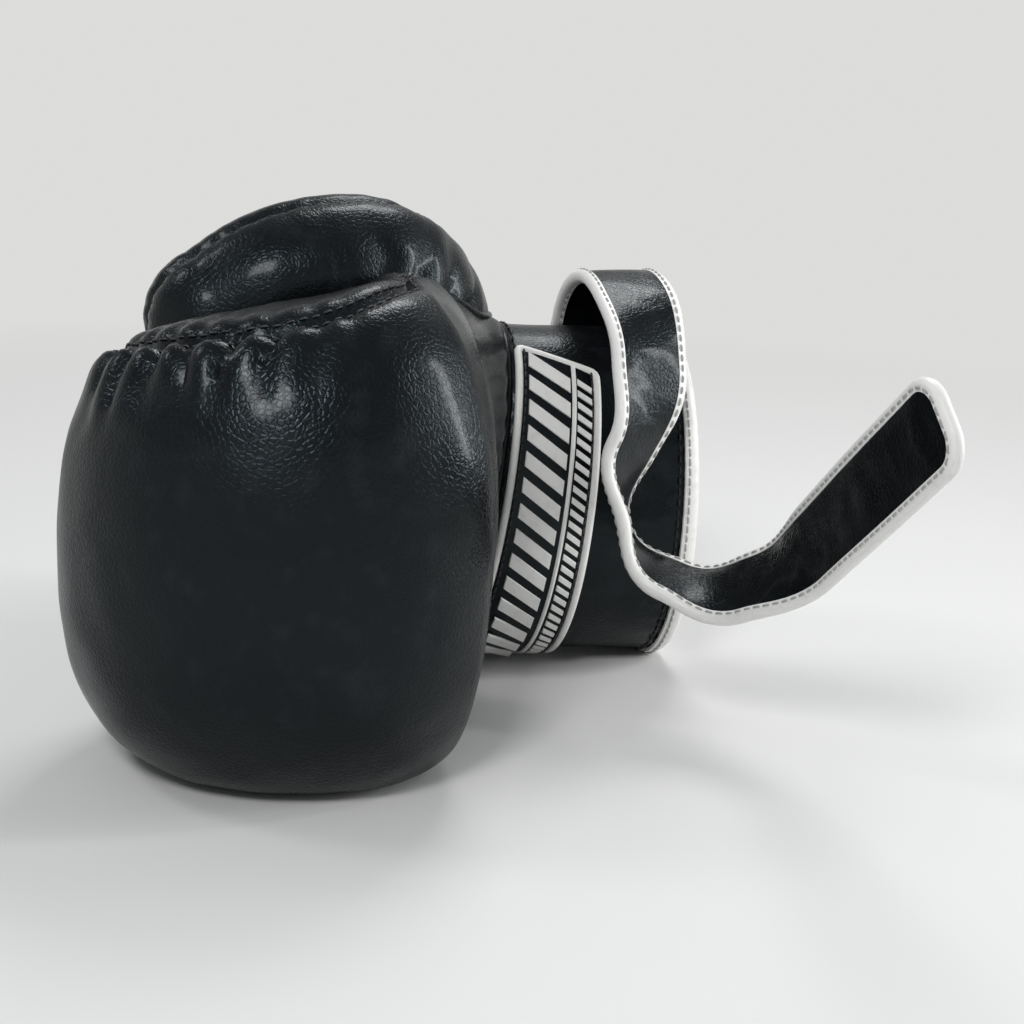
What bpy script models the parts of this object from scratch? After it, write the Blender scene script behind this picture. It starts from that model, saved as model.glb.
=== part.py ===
"""Left boxing glove with a wrap-around hook-and-loop strap, lying on its little-finger side.

The fist points along -X and the cuff along +X. The back of the hand faces -Y, the palm +Y, and the
thumb is on top. The forms are worked out in millimetres from the crease of the fingers, and then
stored in metres from REST_SPOT, on the flat under the mitt, which is what the glove rests on.
"""

import math

import bmesh
import bpy
from mathutils import Matrix, Vector

METRES = 0.001
REST_SPOT = Vector((-20, -29, 0))  # the origin of the finished glove, measured from the crease

# ---- Sewing and layers -------------------------------------------------------------------------
GAP = 0.3  # between two pieces that lie against each other
LEATHER = 1.5
LINING = 1.0
CUFF_FOAM = 8.0

# ---- Mitt: straight from the wrist to the knuckles, then curled about the crease ----------------
HAND_LENGTH = 76.0  # wrist seam to the crease, along X
CREASE_Y = 10.0  # the curl turns about the upright line x = 0, y = CREASE_Y
CREASE_RADIUS = 3.0
CURL = 180.0  # degrees that the fingers turn through
WRIST_BEND = 28.0  # degrees that the cuff is bent to the back of the hand
WRIST_SLANT = math.tan(math.radians(9))  # the wrist seam leans to the cuff at its top
SLANT_HEIGHT = 60.0  # where the slanted seam crosses x = HAND_LENGTH
WRIST_POWER = 2.1  # superellipse exponents of the sections
FIST_POWER = 2.35
FINGER_END = 10.0  # how far the rounded finger end stands out
CLOSING = 88.0  # rounded ends turn in this far, to a small flat facet

# Outlines as (share of the hand's length, value), between the wrist seam and the crease.
BACK_Y = ((0.35, -38), (0.68, -63))
PALM_Y = ((0.35, 46), (0.62, 36), (0.85, 21))
HAND_TOP = ((0.35, 128), (0.68, 137))
HAND_LOW = ((0.35, 1), (0.68, -3))
# Outlines as (degrees of curl, value).
FIST_RADIUS = ((0, 88), (45, 96), (90, 84), (120, 57), (150, 40), (180, 30))
FIST_TOP = ((0, 142), (45, 137), (90, 126), (120, 115), (150, 108), (180, 102))
FIST_LOW = ((0, -3.5), (45, -3.5), (90, 0), (120, 5), (150, 10), (180, 17))

# ---- Hand compartment, in the same sections ------------------------------------------------------
ROOM_CURL = 140.0
ROOM_RADIUS = 12.0  # inner radius, round the grip bar
ROOM_END = 9.0
ROOM_BACK_Y = ((0.35, -16), (0.68, -24))
ROOM_PALM_Y = ((0.35, 33), (0.62, 20), (0.85, 6))
ROOM_TOP = ((0.5, 106),)
ROOM_LOW = ((0.5, 22),)
ROOM_REACH = ((0, 36), (90, 34), (120, 26), (140, 22))
ROOM_CURL_TOP = ((0, 106), (90, 98), (140, 88))
ROOM_CURL_LOW = ((0, 22), (90, 24), (140, 28))

# ---- Leather panels of the mitt ------------------------------------------------------------------
TOP_SEAM = 90.0  # degrees round the section, from the back of the hand
LOW_SEAM = -114.0  # round the resting flat, so that the flat is all one panel

# ---- Thumb: (distance from the wrist seam, y, z, radius) along its spine, to the tip --------------
THUMB_SPINE = (
    (14, 22, 92, 18), (22, 18, 117, 22.5), (44, 16, 135, 24), (71, 23, 134, 24), (91, 33, 124, 21.5)
)
THUMB_FOAM = 8.0
NEARBY = 0.02  # share of the spine to either side that gives its direction
THUMB_TOP_SEAM = 80.0  # degrees round the thumb, from the side of the back of the hand
THUMB_LOW_SEAM = -60.0

# ---- Cuff ---------------------------------------------------------------------------------------
CUFF_Y = 18.0
CUFF_Z = 60.5
CUFF_DROOP = 3.0  # the rim sits this much lower than the wrist
CUFF_HALF_DEPTH = 38.0  # across the wrist, along Y
CUFF_HALF_HEIGHT = 56.0  # along Z
CUFF_FLARE = 2.5
SLIT_ANGLE = 20.0  # opening on the palm side, in degrees round the cuff
GUSSET_THICK = 1.2
BINDING = 1.2  # thickness of the binding tape
RIM_BINDING_WIDTH = 6.0

# ---- Wrist panel on the back of the cuff ----------------------------------------------------------
PANEL_START = 2.5  # from the wrist seam
PANEL_WIDTH = 31.0
PANEL_THICK = 1.2
PANEL_TOP_ANGLE = 66.0
PANEL_LOW_ANGLE = -72.0
PANEL_MARGIN = 0.03  # share of its length at each end that the piping takes
PANEL_SEAM = 0.003  # share of its length between the panel and the piping
PANEL_LEAN = -14.0  # degrees that both ends turn down towards the rim
PIPING_WIDTH = 2.2
PIPING_HEIGHT = 1.8

# ---- Strap --------------------------------------------------------------------------------------
PANEL_TO_STRAP = 1.5
STRAP_TO_BINDING = 1.0
STRAP_WIDTH = 28.0
STRAP_THICK = 3.0
STRAP_TAPE = 0.8  # thickness of the tape that binds its edges
STRAP_TAPE_WIDTH = 4.5
STRAP_JOIN = 0.9  # open length at each hinge of the strap
END_ROUND = (18, 50, 90)  # facets of its half-round ends, in degrees
ROOT_FROM_ANGLE = 169.0  # the sewn-down start of the strap, round the cuff
ROOT_TO_ANGLE = 132.0
ROOT_RISE = 4.4  # its end stands this far off the cuff
PATCH_THICK = 1.5
PATCH_TO_TAPE = 0.6
HOOK_LENGTH = 30.0
HOOK_CORNER = 4.0
HOOK_TO_TAPE = 1.0
LOOP_FROM_ANGLE = 167.0
LOOP_TO_ANGLE = 138.0
TIP_ROUND = 10.0
HINGE_MARK = 5.0  # size of the empties that mark the hinges

STRAP_SLOPE = 57.0  # degrees that its first stretch rises towards the back of the hand
# Each stretch as the strap lies undone: its length, then its bend and twist from the one before.
# A stretch with no bend of its own keeps the one that it has when the strap is done up.
STRAP_CHAIN = (
    (26.0, 0, 0), (26.0, None, 0), (30.0, None, 0), (32.0, 33, -19), (26.0, 42, -29),
    (26.0, -43, -32), (28.0, -53, 34), (32.0, -48, 36), (42.0, -27, 33), (64.0, 1, 4),
)
NEAR_TURN, FAR_TURN, HALVINGS = 5, 75, 40  # the search for the next hinge, in degrees and steps
# Height of the hinges over the cuff once the strap is done up, against the angle round the cuff.
WRAP_HEIGHT = ((-235, 14), (-170, 13), (-115, 7.6), (-85, 7.2))

# ---- Shares of the sizes above ---------------------------------------------------------------------
STRAP_START = PANEL_START + PANEL_WIDTH + PANEL_TO_STRAP  # from the wrist seam
CUFF_LENGTH = STRAP_START + STRAP_WIDTH + STRAP_TO_BINDING + RIM_BINDING_WIDTH
PATCH_MARGIN = STRAP_TAPE_WIDTH + PATCH_TO_TAPE
CUFF_WALL = LEATHER + GAP + CUFF_FOAM + GAP + LINING
THUMB_WALL = LEATHER + GAP + THUMB_FOAM + GAP + LINING
HALF_GAP = GAP / 2
BEND = math.radians(WRIST_BEND)
CUFF_AXIS = Vector((math.cos(BEND), -math.sin(BEND), 0))  # from the wrist to the rim
CUFF_SIDE = Vector((math.sin(BEND), math.cos(BEND), 0))  # across the cuff, to the palm
HALF_SLIT = SLIT_ANGLE / 2
TAPE_SLOT = STRAP_THICK / 2 + GAP
TAPE_REACH = TAPE_SLOT + STRAP_TAPE  # half the thickness of a bound edge
BAND_INSET = STRAP_TAPE + GAP  # from the bound edge to the edge of the band


def outlines(wall, hand, radius, reach, curl_top, curl_low, curl, end):
    """The outlines of the mitt or its room. The hand starts from the cuff's own section, some way
    inside its surface, and ends where the curl starts."""
    depth = (CUFF_HALF_DEPTH - wall) * math.cos(BEND)
    height = CUFF_HALF_HEIGHT - wall
    starts = (CUFF_Y - depth, CUFF_Y + depth, CUFF_Z + height, CUFF_Z - height)
    ends = (CREASE_Y - reach[0][1], CREASE_Y - radius, curl_top[0][1], curl_low[0][1])
    form = {"radius": radius, "reach": reach, "curl_top": curl_top, "curl_low": curl_low}
    for name, first, table, last in zip(("back", "palm", "top", "low"), starts, hand, ends):
        form[name] = ((0, first),) + table + ((1, last),)
    return form | {"curl": curl, "end": end}


SKIN = outlines(
    0, (BACK_Y, PALM_Y, HAND_TOP, HAND_LOW), CREASE_RADIUS, FIST_RADIUS, FIST_TOP, FIST_LOW, CURL, FINGER_END
)
ROOM = outlines(
    CUFF_WALL, (ROOM_BACK_Y, ROOM_PALM_Y, ROOM_TOP, ROOM_LOW),
    ROOM_RADIUS, ROOM_REACH, ROOM_CURL_TOP, ROOM_CURL_LOW, ROOM_CURL, ROOM_END,
)


# ---- Curves ----------------------------------------------------------------------------------------
def steps(first, last, count):
    """Evenly spaced values from first to last, both included."""
    return [first + (last - first) * i / count for i in range(count + 1)]


def curve(table, at):
    """A smooth curve through a table's (place, value) pairs, level beyond its ends."""
    at = min(max(at, table[0][0]), table[-1][0])
    slopes = []
    for i in range(len(table)):
        before, after = table[max(i - 1, 0)], table[min(i + 1, len(table) - 1)]
        slopes.append((after[1] - before[1]) / (after[0] - before[0]))
    for i in range(len(table) - 1):
        (x0, y0), (x1, y1) = table[i], table[i + 1]
        if at <= x1:
            break
    width = x1 - x0
    u = (at - x0) / width
    ends = (2 * u**3 - 3 * u**2 + 1) * y0 + (3 * u**2 - 2 * u**3) * y1
    return ends + width * ((u**3 - 2 * u**2 + u) * slopes[i] + (u**3 - u**2) * slopes[i + 1])


def oval(angle, power):
    """A point of the unit superellipse, at an angle in degrees."""
    c, s = math.cos(math.radians(angle)), math.sin(math.radians(angle))
    return (
        math.copysign(abs(c) ** (2 / power), c),
        math.copysign(abs(s) ** (2 / power), s),
    )


# ---- Forms: each gives one ring of points ------------------------------------------------------------
def mitt_ring(form, place, inset, angles):
    """A section of the mitt or of its room. The place runs 0-1 along the hand, 1-2 round the curl and
    2-3 over the finger end. Angles run from the back of the hand (0) over the top (90)."""
    curl = form["curl"] * min(max(place - 1, 0), 1)
    closing = math.radians(CLOSING * min(max(place - 2, 0), 1))
    wrist = max(1 - place, 0)
    if wrist:
        near = CREASE_Y - curve(form["palm"], place)
        far = CREASE_Y - curve(form["back"], place)
        top, low = curve(form["top"], place), curve(form["low"], place)
    else:
        near, far = form["radius"], curve(form["reach"], curl)
        top, low = curve(form["curl_top"], curl), curve(form["curl_low"], curl)
    power = FIST_POWER + (WRIST_POWER - FIST_POWER) * wrist
    turn = math.radians(curl)
    out = Vector((-math.sin(turn), -math.cos(turn), 0))
    ahead = Vector((-math.cos(turn), math.sin(turn), 0))
    start = Vector((wrist * HAND_LENGTH, CREASE_Y, 0)) + ahead * (form["end"] - inset) * math.sin(closing)
    half_depth = ((far - near) / 2 - inset) * math.cos(closing)
    half_height = ((top - low) / 2 - inset) * math.cos(closing)
    ring = []
    for angle in angles:
        c, s = oval(angle, power)
        point = start + out * ((near + far) / 2 + half_depth * c)
        point.z = max((top + low) / 2 + half_height * s, inset)
        point.x += math.tan(BEND) * wrist * (point.y - CUFF_Y)
        ring.append(point + CUFF_AXIS * WRIST_SLANT * wrist * (point.z - SLANT_HEIGHT))
    return ring


def cuff_ring(along, inset, angles):
    """A section of the cuff, at a distance from the wrist seam and inside its outer surface."""
    share = along / CUFF_LENGTH
    flare = CUFF_FLARE * share**2
    ring = []
    for angle in angles:
        c, s = oval(angle, WRIST_POWER)
        z = CUFF_Z - CUFF_DROOP * share + (CUFF_HALF_HEIGHT + flare / 2 - inset) * s
        lean = WRIST_SLANT * (1 - share) * (z - SLANT_HEIGHT)
        point = Vector((HAND_LENGTH, CUFF_Y, z)) + CUFF_AXIS * (along + lean)
        ring.append(point - CUFF_SIDE * (CUFF_HALF_DEPTH + flare - inset) * c)
    return ring


def thumb_ring(place, inset, angles):
    """A section of the thumb. The place runs 0-1 along its spine and 1-2 over its tip."""
    knots = steps(0, 1, len(THUMB_SPINE) - 1)
    tables = [list(zip(knots, values)) for values in zip(*THUMB_SPINE)]
    spine = min(place, 1)
    closing = math.radians(CLOSING * max(place - 1, 0))
    x, y, z, radius = (curve(table, spine) for table in tables)
    before = Vector(curve(table, max(spine - NEARBY, 0)) for table in tables[:3])
    after = Vector(curve(table, min(spine + NEARBY, 1)) for table in tables[:3])
    ahead = (after - before).normalized()
    ahead.x *= -1
    side = ahead.cross(Vector((0, 0, 1))).normalized()
    up = side.cross(ahead)
    centre = Vector((HAND_LENGTH - x, y, z)) + ahead * (radius - inset) * math.sin(closing)
    reach = (radius - inset) * math.cos(closing)
    ring = []
    for angle in angles:
        turn = math.radians(angle)
        ring.append(centre + (up * math.sin(turn) - side * math.cos(turn)) * reach)
    return ring


# ---- Solids from rings --------------------------------------------------------------------------------
def drawn_in(rings, start=0.0, end=0.0, sides=0.0):
    """The rings with their first, last and side points moved inwards, for the gaps at seams."""
    rings = [list(ring) for ring in rings]
    for ring in rings:
        first, last = ring[0], ring[-1]
        if sides:
            ring[0] = first + (ring[1] - first).normalized() * sides
            ring[-1] = last + (ring[-2] - last).normalized() * sides
    for edge, neighbour, by in ((0, 1, start), (-1, -2, end)):
        if by:
            pairs = zip(rings[edge], rings[neighbour])
            rings[edge] = [a + (b - a).normalized() * by for a, b in pairs]
    return rings


def mesh_object(name, points, faces, smooth=True):
    """A closed mesh object in metres, with its faces turned outwards."""
    mesh = bpy.data.meshes.new(name)
    body = bmesh.new()
    corners = [body.verts.new(point * METRES) for point in points]
    for face in faces:
        body.faces.new([corners[i] for i in face])
    bmesh.ops.recalc_face_normals(body, faces=body.faces)
    for face in body.faces:
        face.smooth = smooth
    body.to_mesh(mesh)
    body.free()
    thing = bpy.data.objects.new(name, mesh)
    bpy.context.scene.collection.objects.link(thing)
    return thing


def split(a, b, c, d, flip=False):
    """Two triangles of a quad, always split between a and c, so that neighbouring layers match."""
    return [[c, b, a], [d, c, a]] if flip else [[a, b, c], [a, c, d]]


def grid_faces(rows, columns, first, wrap, flip):
    faces = []
    for i in range(rows - 1):
        for j in range(columns if wrap else columns - 1):
            k = (j + 1) % columns
            a, b = first + i * columns, first + (i + 1) * columns
            faces += split(a + j, b + j, b + k, a + k, flip)
    return faces


def shell(name, outer, inner, wrap=False, blind=False):
    """The wall between two sets of rings. A blind shell is closed over its last ring."""
    rows, columns = len(outer), len(outer[0])
    points = [point for ring in outer + inner for point in ring]
    second = rows * columns
    faces = grid_faces(rows, columns, 0, wrap, False) + grid_faces(rows, columns, second, wrap, True)
    spans = [(j, (j + 1) % columns) for j in range(columns if wrap else columns - 1)]
    last = (rows - 1) * columns
    for a, b in spans:
        faces += split(a, b, second + b, second + a)
    if blind:
        faces.append([last + j for j in range(columns)])
        faces.append([second + last + j for j in reversed(range(columns))])
    else:
        for a, b in spans:
            faces += split(last + a, last + b, second + last + b, second + last + a, flip=True)
    if not wrap:
        for i in range(rows - 1):
            for j in (0, columns - 1):
                a, b = i * columns + j, (i + 1) * columns + j
                faces += split(a, b, second + b, second + a, flip=j == 0)
    return mesh_object(name, points, faces)


def loft(name, rings, smooth=True):
    """A solid through closed rings, with a flat face over each end."""
    rows, columns = len(rings), len(rings[0])
    points = [point for ring in rings for point in ring]
    faces = grid_faces(rows, columns, 0, True, False)
    faces.append(list(reversed(range(columns))))
    faces.append([(rows - 1) * columns + j for j in range(columns)])
    return mesh_object(name, points, faces, smooth)


def ring_sweep(name, rings):
    """A solid whose sections go all the way round and meet, such as a piping."""
    rows, columns = len(rings), len(rings[0])
    points = [point for ring in rings for point in ring]
    faces = []
    for i in range(rows):
        k = (i + 1) % rows
        for j in range(columns):
            m = (j + 1) % columns
            faces.append([i * columns + j, k * columns + j, k * columns + m, i * columns + m])
    return mesh_object(name, points, faces)


def cut(thing, *cutters):
    for cutter in cutters:
        modifier = thing.modifiers.new("less " + cutter.name, "BOOLEAN")
        modifier.operation = "DIFFERENCE"
        modifier.solver = "EXACT"
        modifier.object = cutter


def as_cutter(thing):
    thing.hide_render = True
    thing.display_type = "WIRE"
    return thing


# ---- Materials ------------------------------------------------------------------------------------------
FINISHES = {
    "black_leather": ((0.014, 0.015, 0.017), 0.34),
    "white_vinyl": ((0.78, 0.78, 0.76), 0.45),
    "foam": ((0.55, 0.54, 0.50), 0.95),
    "lining": ((0.03, 0.03, 0.035), 0.9),
    "hook_and_loop": ((0.02, 0.02, 0.022), 0.95),
    "elastic": ((0.02, 0.02, 0.02), 0.8),
}


def finish(thing, kind):
    """Gives the object a material of its own, in one of the finishes."""
    colour, roughness = FINISHES[kind]
    material = bpy.data.materials.new(thing.name + "_" + kind)
    material.use_nodes = True
    shader = material.node_tree.nodes["Principled BSDF"]
    shader.inputs["Base Color"].default_value = (*colour, 1)
    shader.inputs["Roughness"].default_value = roughness
    shader.inputs["Metallic"].default_value = 0
    thing.data.materials.append(material)
    return thing


# ---- Mitt ----------------------------------------------------------------------------------------------
HAND_PLACES = steps(0, 1, 4)
CURL_PLACES = steps(1, 2, 9)
END_PLACES = steps(2, 3, 2)
ALL_PLACES = HAND_PLACES + CURL_PLACES[1:] + END_PLACES[1:]
FACET = 12  # degrees; every layer shares these facets, so that the layers nest
ROUND = steps(-174, 174, 29)
FOAM_OUT = LEATHER + GAP
FOAM_IN = -LINING - GAP


def mitt_rings(form, places, inset, angles, start=0.0, end=0.0, sides=0.0):
    rings = [mitt_ring(form, place, inset, angles) for place in places]
    return drawn_in(rings, start, end, sides)


def leather_panel(name, first, last):
    angles = steps(first, last, round((last - first) / FACET))
    outer = mitt_rings(SKIN, ALL_PLACES, 0, angles, start=HALF_GAP, sides=HALF_GAP)
    inner = mitt_rings(SKIN, ALL_PLACES, LEATHER, angles, start=HALF_GAP, sides=HALF_GAP)
    return finish(shell(name, outer, inner), "black_leather")


def foam_piece(name, places, first, last, start, end):
    angles = steps(first, last, round((last - first) / FACET))
    outer = mitt_rings(SKIN, places, FOAM_OUT, angles, start, end, HALF_GAP)
    inner = mitt_rings(ROOM, places, FOAM_IN, angles, start, end, HALF_GAP)
    return finish(shell(name, outer, inner), "foam")


def make_mitt():
    fist_places = ALL_PLACES[len(HAND_PLACES) - 1:]
    back = leather_panel("back_leather", LOW_SEAM, TOP_SEAM)
    palm = leather_panel("palm_leather", TOP_SEAM, LOW_SEAM + 360)
    back_foam = foam_piece("back_foam", HAND_PLACES, -90, 90, HALF_GAP, HALF_GAP)
    palm_foam = foam_piece("palm_foam", HAND_PLACES, 90, 270, HALF_GAP, HALF_GAP)
    foam_piece("knuckle_foam", fist_places, -90, 90, HALF_GAP, 0)
    foam_piece("grip_bar", fist_places, 90, 270, HALF_GAP, 0)
    outer = mitt_rings(ROOM, ALL_PLACES, -LINING, ROUND, start=HALF_GAP)
    inner = mitt_rings(ROOM, ALL_PLACES, 0, ROUND, start=HALF_GAP)
    lining = finish(shell("hand_lining", outer, inner, wrap=True, blind=True), "lining")
    return back, palm, back_foam, palm_foam, lining


# ---- Thumb ---------------------------------------------------------------------------------------------
THUMB_PLACES = steps(0, 1, 8) + steps(1, 2, 3)[1:]
THUMB_FACET = 20
THUMB_ROUND = steps(-180, 160, 17)


def thumb_rings(inset, angles, sides=0.0):
    return drawn_in([thumb_ring(place, inset, angles) for place in THUMB_PLACES], sides=sides)


def thumb_leather(name, first, last):
    angles = steps(first, last, round((last - first) / THUMB_FACET))
    panel = shell(name, thumb_rings(0, angles, HALF_GAP), thumb_rings(LEATHER, angles, HALF_GAP))
    return finish(panel, "black_leather")


def thumb_layer(name, outside, inside, kind):
    outer, inner = thumb_rings(outside, THUMB_ROUND), thumb_rings(inside, THUMB_ROUND)
    return finish(shell(name, outer, inner, wrap=True, blind=True), kind)


def make_thumb(mitt_pieces):
    """The thumb, cut to sit on the mitt, with a passage into the hand compartment."""
    mitt_body = as_cutter(loft("cutter_mitt", mitt_rings(SKIN, ALL_PLACES, -GAP, ROUND)))
    room_body = as_cutter(loft("cutter_room", mitt_rings(ROOM, ALL_PLACES, FOAM_IN, ROUND)))
    passage = as_cutter(loft("cutter_thumb", thumb_rings(THUMB_WALL - LINING - GAP, THUMB_ROUND)))
    for piece in mitt_pieces:
        cut(piece, passage)
    cut(thumb_leather("thumb_outer_leather", THUMB_LOW_SEAM, THUMB_TOP_SEAM), mitt_body)
    cut(thumb_leather("thumb_inner_leather", THUMB_TOP_SEAM, THUMB_LOW_SEAM + 360), mitt_body)
    cut(thumb_layer("thumb_foam", FOAM_OUT, FOAM_OUT + THUMB_FOAM, "foam"), mitt_body)
    cut(thumb_layer("thumb_lining", THUMB_WALL - LINING, THUMB_WALL, "lining"), room_body)


# ---- Cuff ----------------------------------------------------------------------------------------------
CUFF_ANGLES = steps(HALF_SLIT - 180, 180 - HALF_SLIT, 28)


def cuff_rings(first, last, count, inset, angles):
    return [cuff_ring(along, inset, angles) for along in steps(first, last, count)]


def cuff_layer(name, inset, thickness, kind):
    last = CUFF_LENGTH - BINDING - GAP
    outer = drawn_in(cuff_rings(0, last, 3, inset, CUFF_ANGLES), HALF_GAP, 0, HALF_GAP)
    inner = drawn_in(cuff_rings(0, last, 3, inset + thickness, CUFF_ANGLES), HALF_GAP, 0, HALF_GAP)
    return finish(shell(name, outer, inner), kind)


def make_cuff():
    cuff_layer("cuff_leather", 0, LEATHER, "black_leather")
    cuff_layer("cuff_foam", FOAM_OUT, CUFF_FOAM, "foam")
    cuff_layer("cuff_lining", CUFF_WALL - LINING, LINING, "lining")
    make_rim_binding()
    slit = steps(180 - HALF_SLIT, 180 + HALF_SLIT, 4)
    deep = FOAM_OUT + CUFF_FOAM / 2
    last = CUFF_LENGTH - RIM_BINDING_WIDTH - GAP
    outer = drawn_in(cuff_rings(0, last, 6, deep, slit), HALF_GAP, 0, GAP)
    inner = drawn_in(cuff_rings(0, last, 6, deep + GUSSET_THICK, slit), HALF_GAP, 0, GAP)
    finish(shell("slit_gusset", outer, inner), "elastic")


def make_rim_binding():
    """A channel of tape folded over the rim, from one edge of the slit to the other."""
    over, under = -GAP - BINDING, CUFF_WALL + GAP + BINDING
    back, rim = CUFF_LENGTH - RIM_BINDING_WIDTH, CUFF_LENGTH
    profile = (
        (back, over), (rim, over), (rim, under), (back, under),
        (back, under - BINDING), (rim - BINDING, under - BINDING),
        (rim - BINDING, over + BINDING), (back, over + BINDING),
    )
    rings = [[cuff_ring(along, inset, [angle])[0] for along, inset in profile] for angle in CUFF_ANGLES]
    finish(loft("rim_binding", drawn_in(rings, HALF_GAP, HALF_GAP)), "white_vinyl")


# ---- Wrist panel ---------------------------------------------------------------------------------------
def panel_point(across, round_share, height):
    """A point over the wrist panel: across it from the seam, round it from its low end."""
    share = across / PANEL_WIDTH
    angle = PANEL_LOW_ANGLE + (PANEL_TOP_ANGLE - PANEL_LOW_ANGLE) * round_share + PANEL_LEAN * share
    return cuff_ring(PANEL_START + across, -height, [angle])[0]


def make_wrist_panel():
    border = PIPING_WIDTH
    across = steps(border, PANEL_WIDTH - border, 2)
    along = steps(PANEL_MARGIN, 1 - PANEL_MARGIN, 11)
    outer = [[panel_point(a, r, GAP + PANEL_THICK) for r in along] for a in across]
    inner = [[panel_point(a, r, GAP) for r in along] for a in across]
    finish(shell("wrist_panel", outer, inner), "black_leather")
    line = [(0, r) for r in steps(0, 1, 14)[:-1]]
    line += [(a, 1) for a in steps(0, PANEL_WIDTH, 2)[:-1]]
    line += [(PANEL_WIDTH, r) for r in steps(1, 0, 14)[:-1]]
    line += [(a, 0) for a in steps(PANEL_WIDTH, 0, 2)[:-1]]
    rings = []
    for a, r in line:
        inside = (
            min(max(a, border - GAP), PANEL_WIDTH - border + GAP),
            min(max(r, PANEL_MARGIN - PANEL_SEAM), 1 - PANEL_MARGIN + PANEL_SEAM),
        )
        rings.append([
            panel_point(a, r, GAP), panel_point(a, r, GAP + PIPING_HEIGHT),
            panel_point(*inside, GAP + PIPING_HEIGHT), panel_point(*inside, GAP),
        ])
    finish(ring_sweep("wrist_panel_piping", rings), "white_vinyl")


# ---- Strap ---------------------------------------------------------------------------------------------
def on_cuff(angle, across, height):
    """A point over the cuff at a place across the strap, straight round the cuff's axis."""
    point = cuff_ring(STRAP_START + across, -height, [angle])[0]
    wrist = Vector((HAND_LENGTH, CUFF_Y, point.z))
    return point + CUFF_AXIS * (STRAP_START + across - (point - wrist).dot(CUFF_AXIS))


def root_height(angle):
    return GAP + curve(((ROOT_TO_ANGLE, ROOT_RISE), ((ROOT_TO_ANGLE + ROOT_FROM_ANGLE) / 2, 0)), angle)


def cuff_strip(name, first, last, across, under, thick, kind):
    """A strip that follows the root of the strap round the cuff."""
    rings = []
    for angle in steps(first, last, 6):
        low = root_height(angle) + under
        near, far = across, STRAP_WIDTH - across
        rings.append([
            on_cuff(angle, near, low), on_cuff(angle, far, low),
            on_cuff(angle, far, low + thick), on_cuff(angle, near, low + thick),
        ])
    return finish(loft(name, rings), kind)


def first_hinge():
    middle = STRAP_WIDTH / 2
    height = root_height(ROOT_TO_ANGLE) + STRAP_THICK / 2
    end = on_cuff(ROOT_TO_ANGLE, middle, height)
    onward = (end - on_cuff(ROOT_TO_ANGLE + 1, middle, height)).normalized()
    return end + onward * STRAP_JOIN / 2


def closed_slopes():
    """The slope of each stretch when the strap is wrapped round the cuff and done up."""
    spot, angle, slopes = first_hinge(), ROOT_TO_ANGLE, []
    for length, _, _ in STRAP_CHAIN:
        low, high = angle - FAR_TURN, angle - NEAR_TURN
        for _ in range(HALVINGS):
            middle = (low + high) / 2
            ahead = on_cuff(middle, STRAP_WIDTH, curve(WRAP_HEIGHT, middle)) - CUFF_AXIS * STRAP_WIDTH / 2
            if (ahead - spot).length > length:
                low = middle
            else:
                high = middle
        step = ahead - spot
        slope = math.degrees(math.atan2(step.z, -step.dot(CUFF_SIDE)))
        while slopes and slope > slopes[-1]:
            slope -= 360
        slopes.append(slope)
        spot, angle = ahead, middle
    return slopes


def stretch_frame(slope):
    """Local X runs along the strap, Y across it towards the rim, and Z off its outer face. A slope
    of 0 points to the back of the hand and 90 straight up."""
    turn = math.radians(slope)
    along = Vector((0, 0, math.sin(turn))) - CUFF_SIDE * math.cos(turn)
    return Matrix((along, CUFF_AXIS, along.cross(CUFF_AXIS))).transposed()


def next_frame(frame, bend, twist):
    """The frame of the next stretch: bent inwards about Y, with the twist shared about X."""
    half_twist = Matrix.Rotation(math.radians(twist / 2), 3, "X")
    return frame @ half_twist @ Matrix.Rotation(math.radians(bend), 3, "Y") @ half_twist


def closing_turn(open_before, open_now, closed_before, closed_now):
    """The turn, in degrees, and its axis that close one hinge of the strap."""
    undone = open_before.transposed() @ open_now
    done_up = closed_before.transposed() @ closed_now
    axis, angle = (done_up @ undone.transposed()).to_quaternion().to_axis_angle()
    return math.degrees(angle), open_before @ axis


def end_rounds(length):
    """Places along a stretch with the share of its thickness there: both ends are half round."""
    turns = [math.radians(a) for a in END_ROUND]
    rise = [(TAPE_REACH * (1 - math.cos(a)), math.sin(a)) for a in turns]
    start = STRAP_JOIN / 2
    return [(start + u, f) for u, f in rise] + [(length - start - u, f) for u, f in reversed(rise)]


def tip_rounds(length, inset):
    """The outline of the rounded tip: places along it and half widths."""
    radius = TIP_ROUND - inset
    corner = STRAP_WIDTH / 2 - TIP_ROUND
    turns = [math.radians(a) for a in steps(0, 90, 6)]
    return [(length - TIP_ROUND + radius * math.sin(a), corner + radius * math.cos(a)) for a in turns]


def band(name, length, is_tip):
    half = STRAP_WIDTH / 2 - BAND_INSET
    places = [(u, half, f) for u, f in end_rounds(length)]
    if is_tip:
        places = places[:3] + [(u, w, 1) for u, w in tip_rounds(length, BAND_INSET)]
    rings = []
    for u, w, f in places:
        h = f * STRAP_THICK / 2
        rings.append([Vector((u, -w, -h)), Vector((u, w, -h)), Vector((u, w, h)), Vector((u, -w, h))])
    return finish(loft(name, rings, smooth=False), "black_leather")


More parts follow.
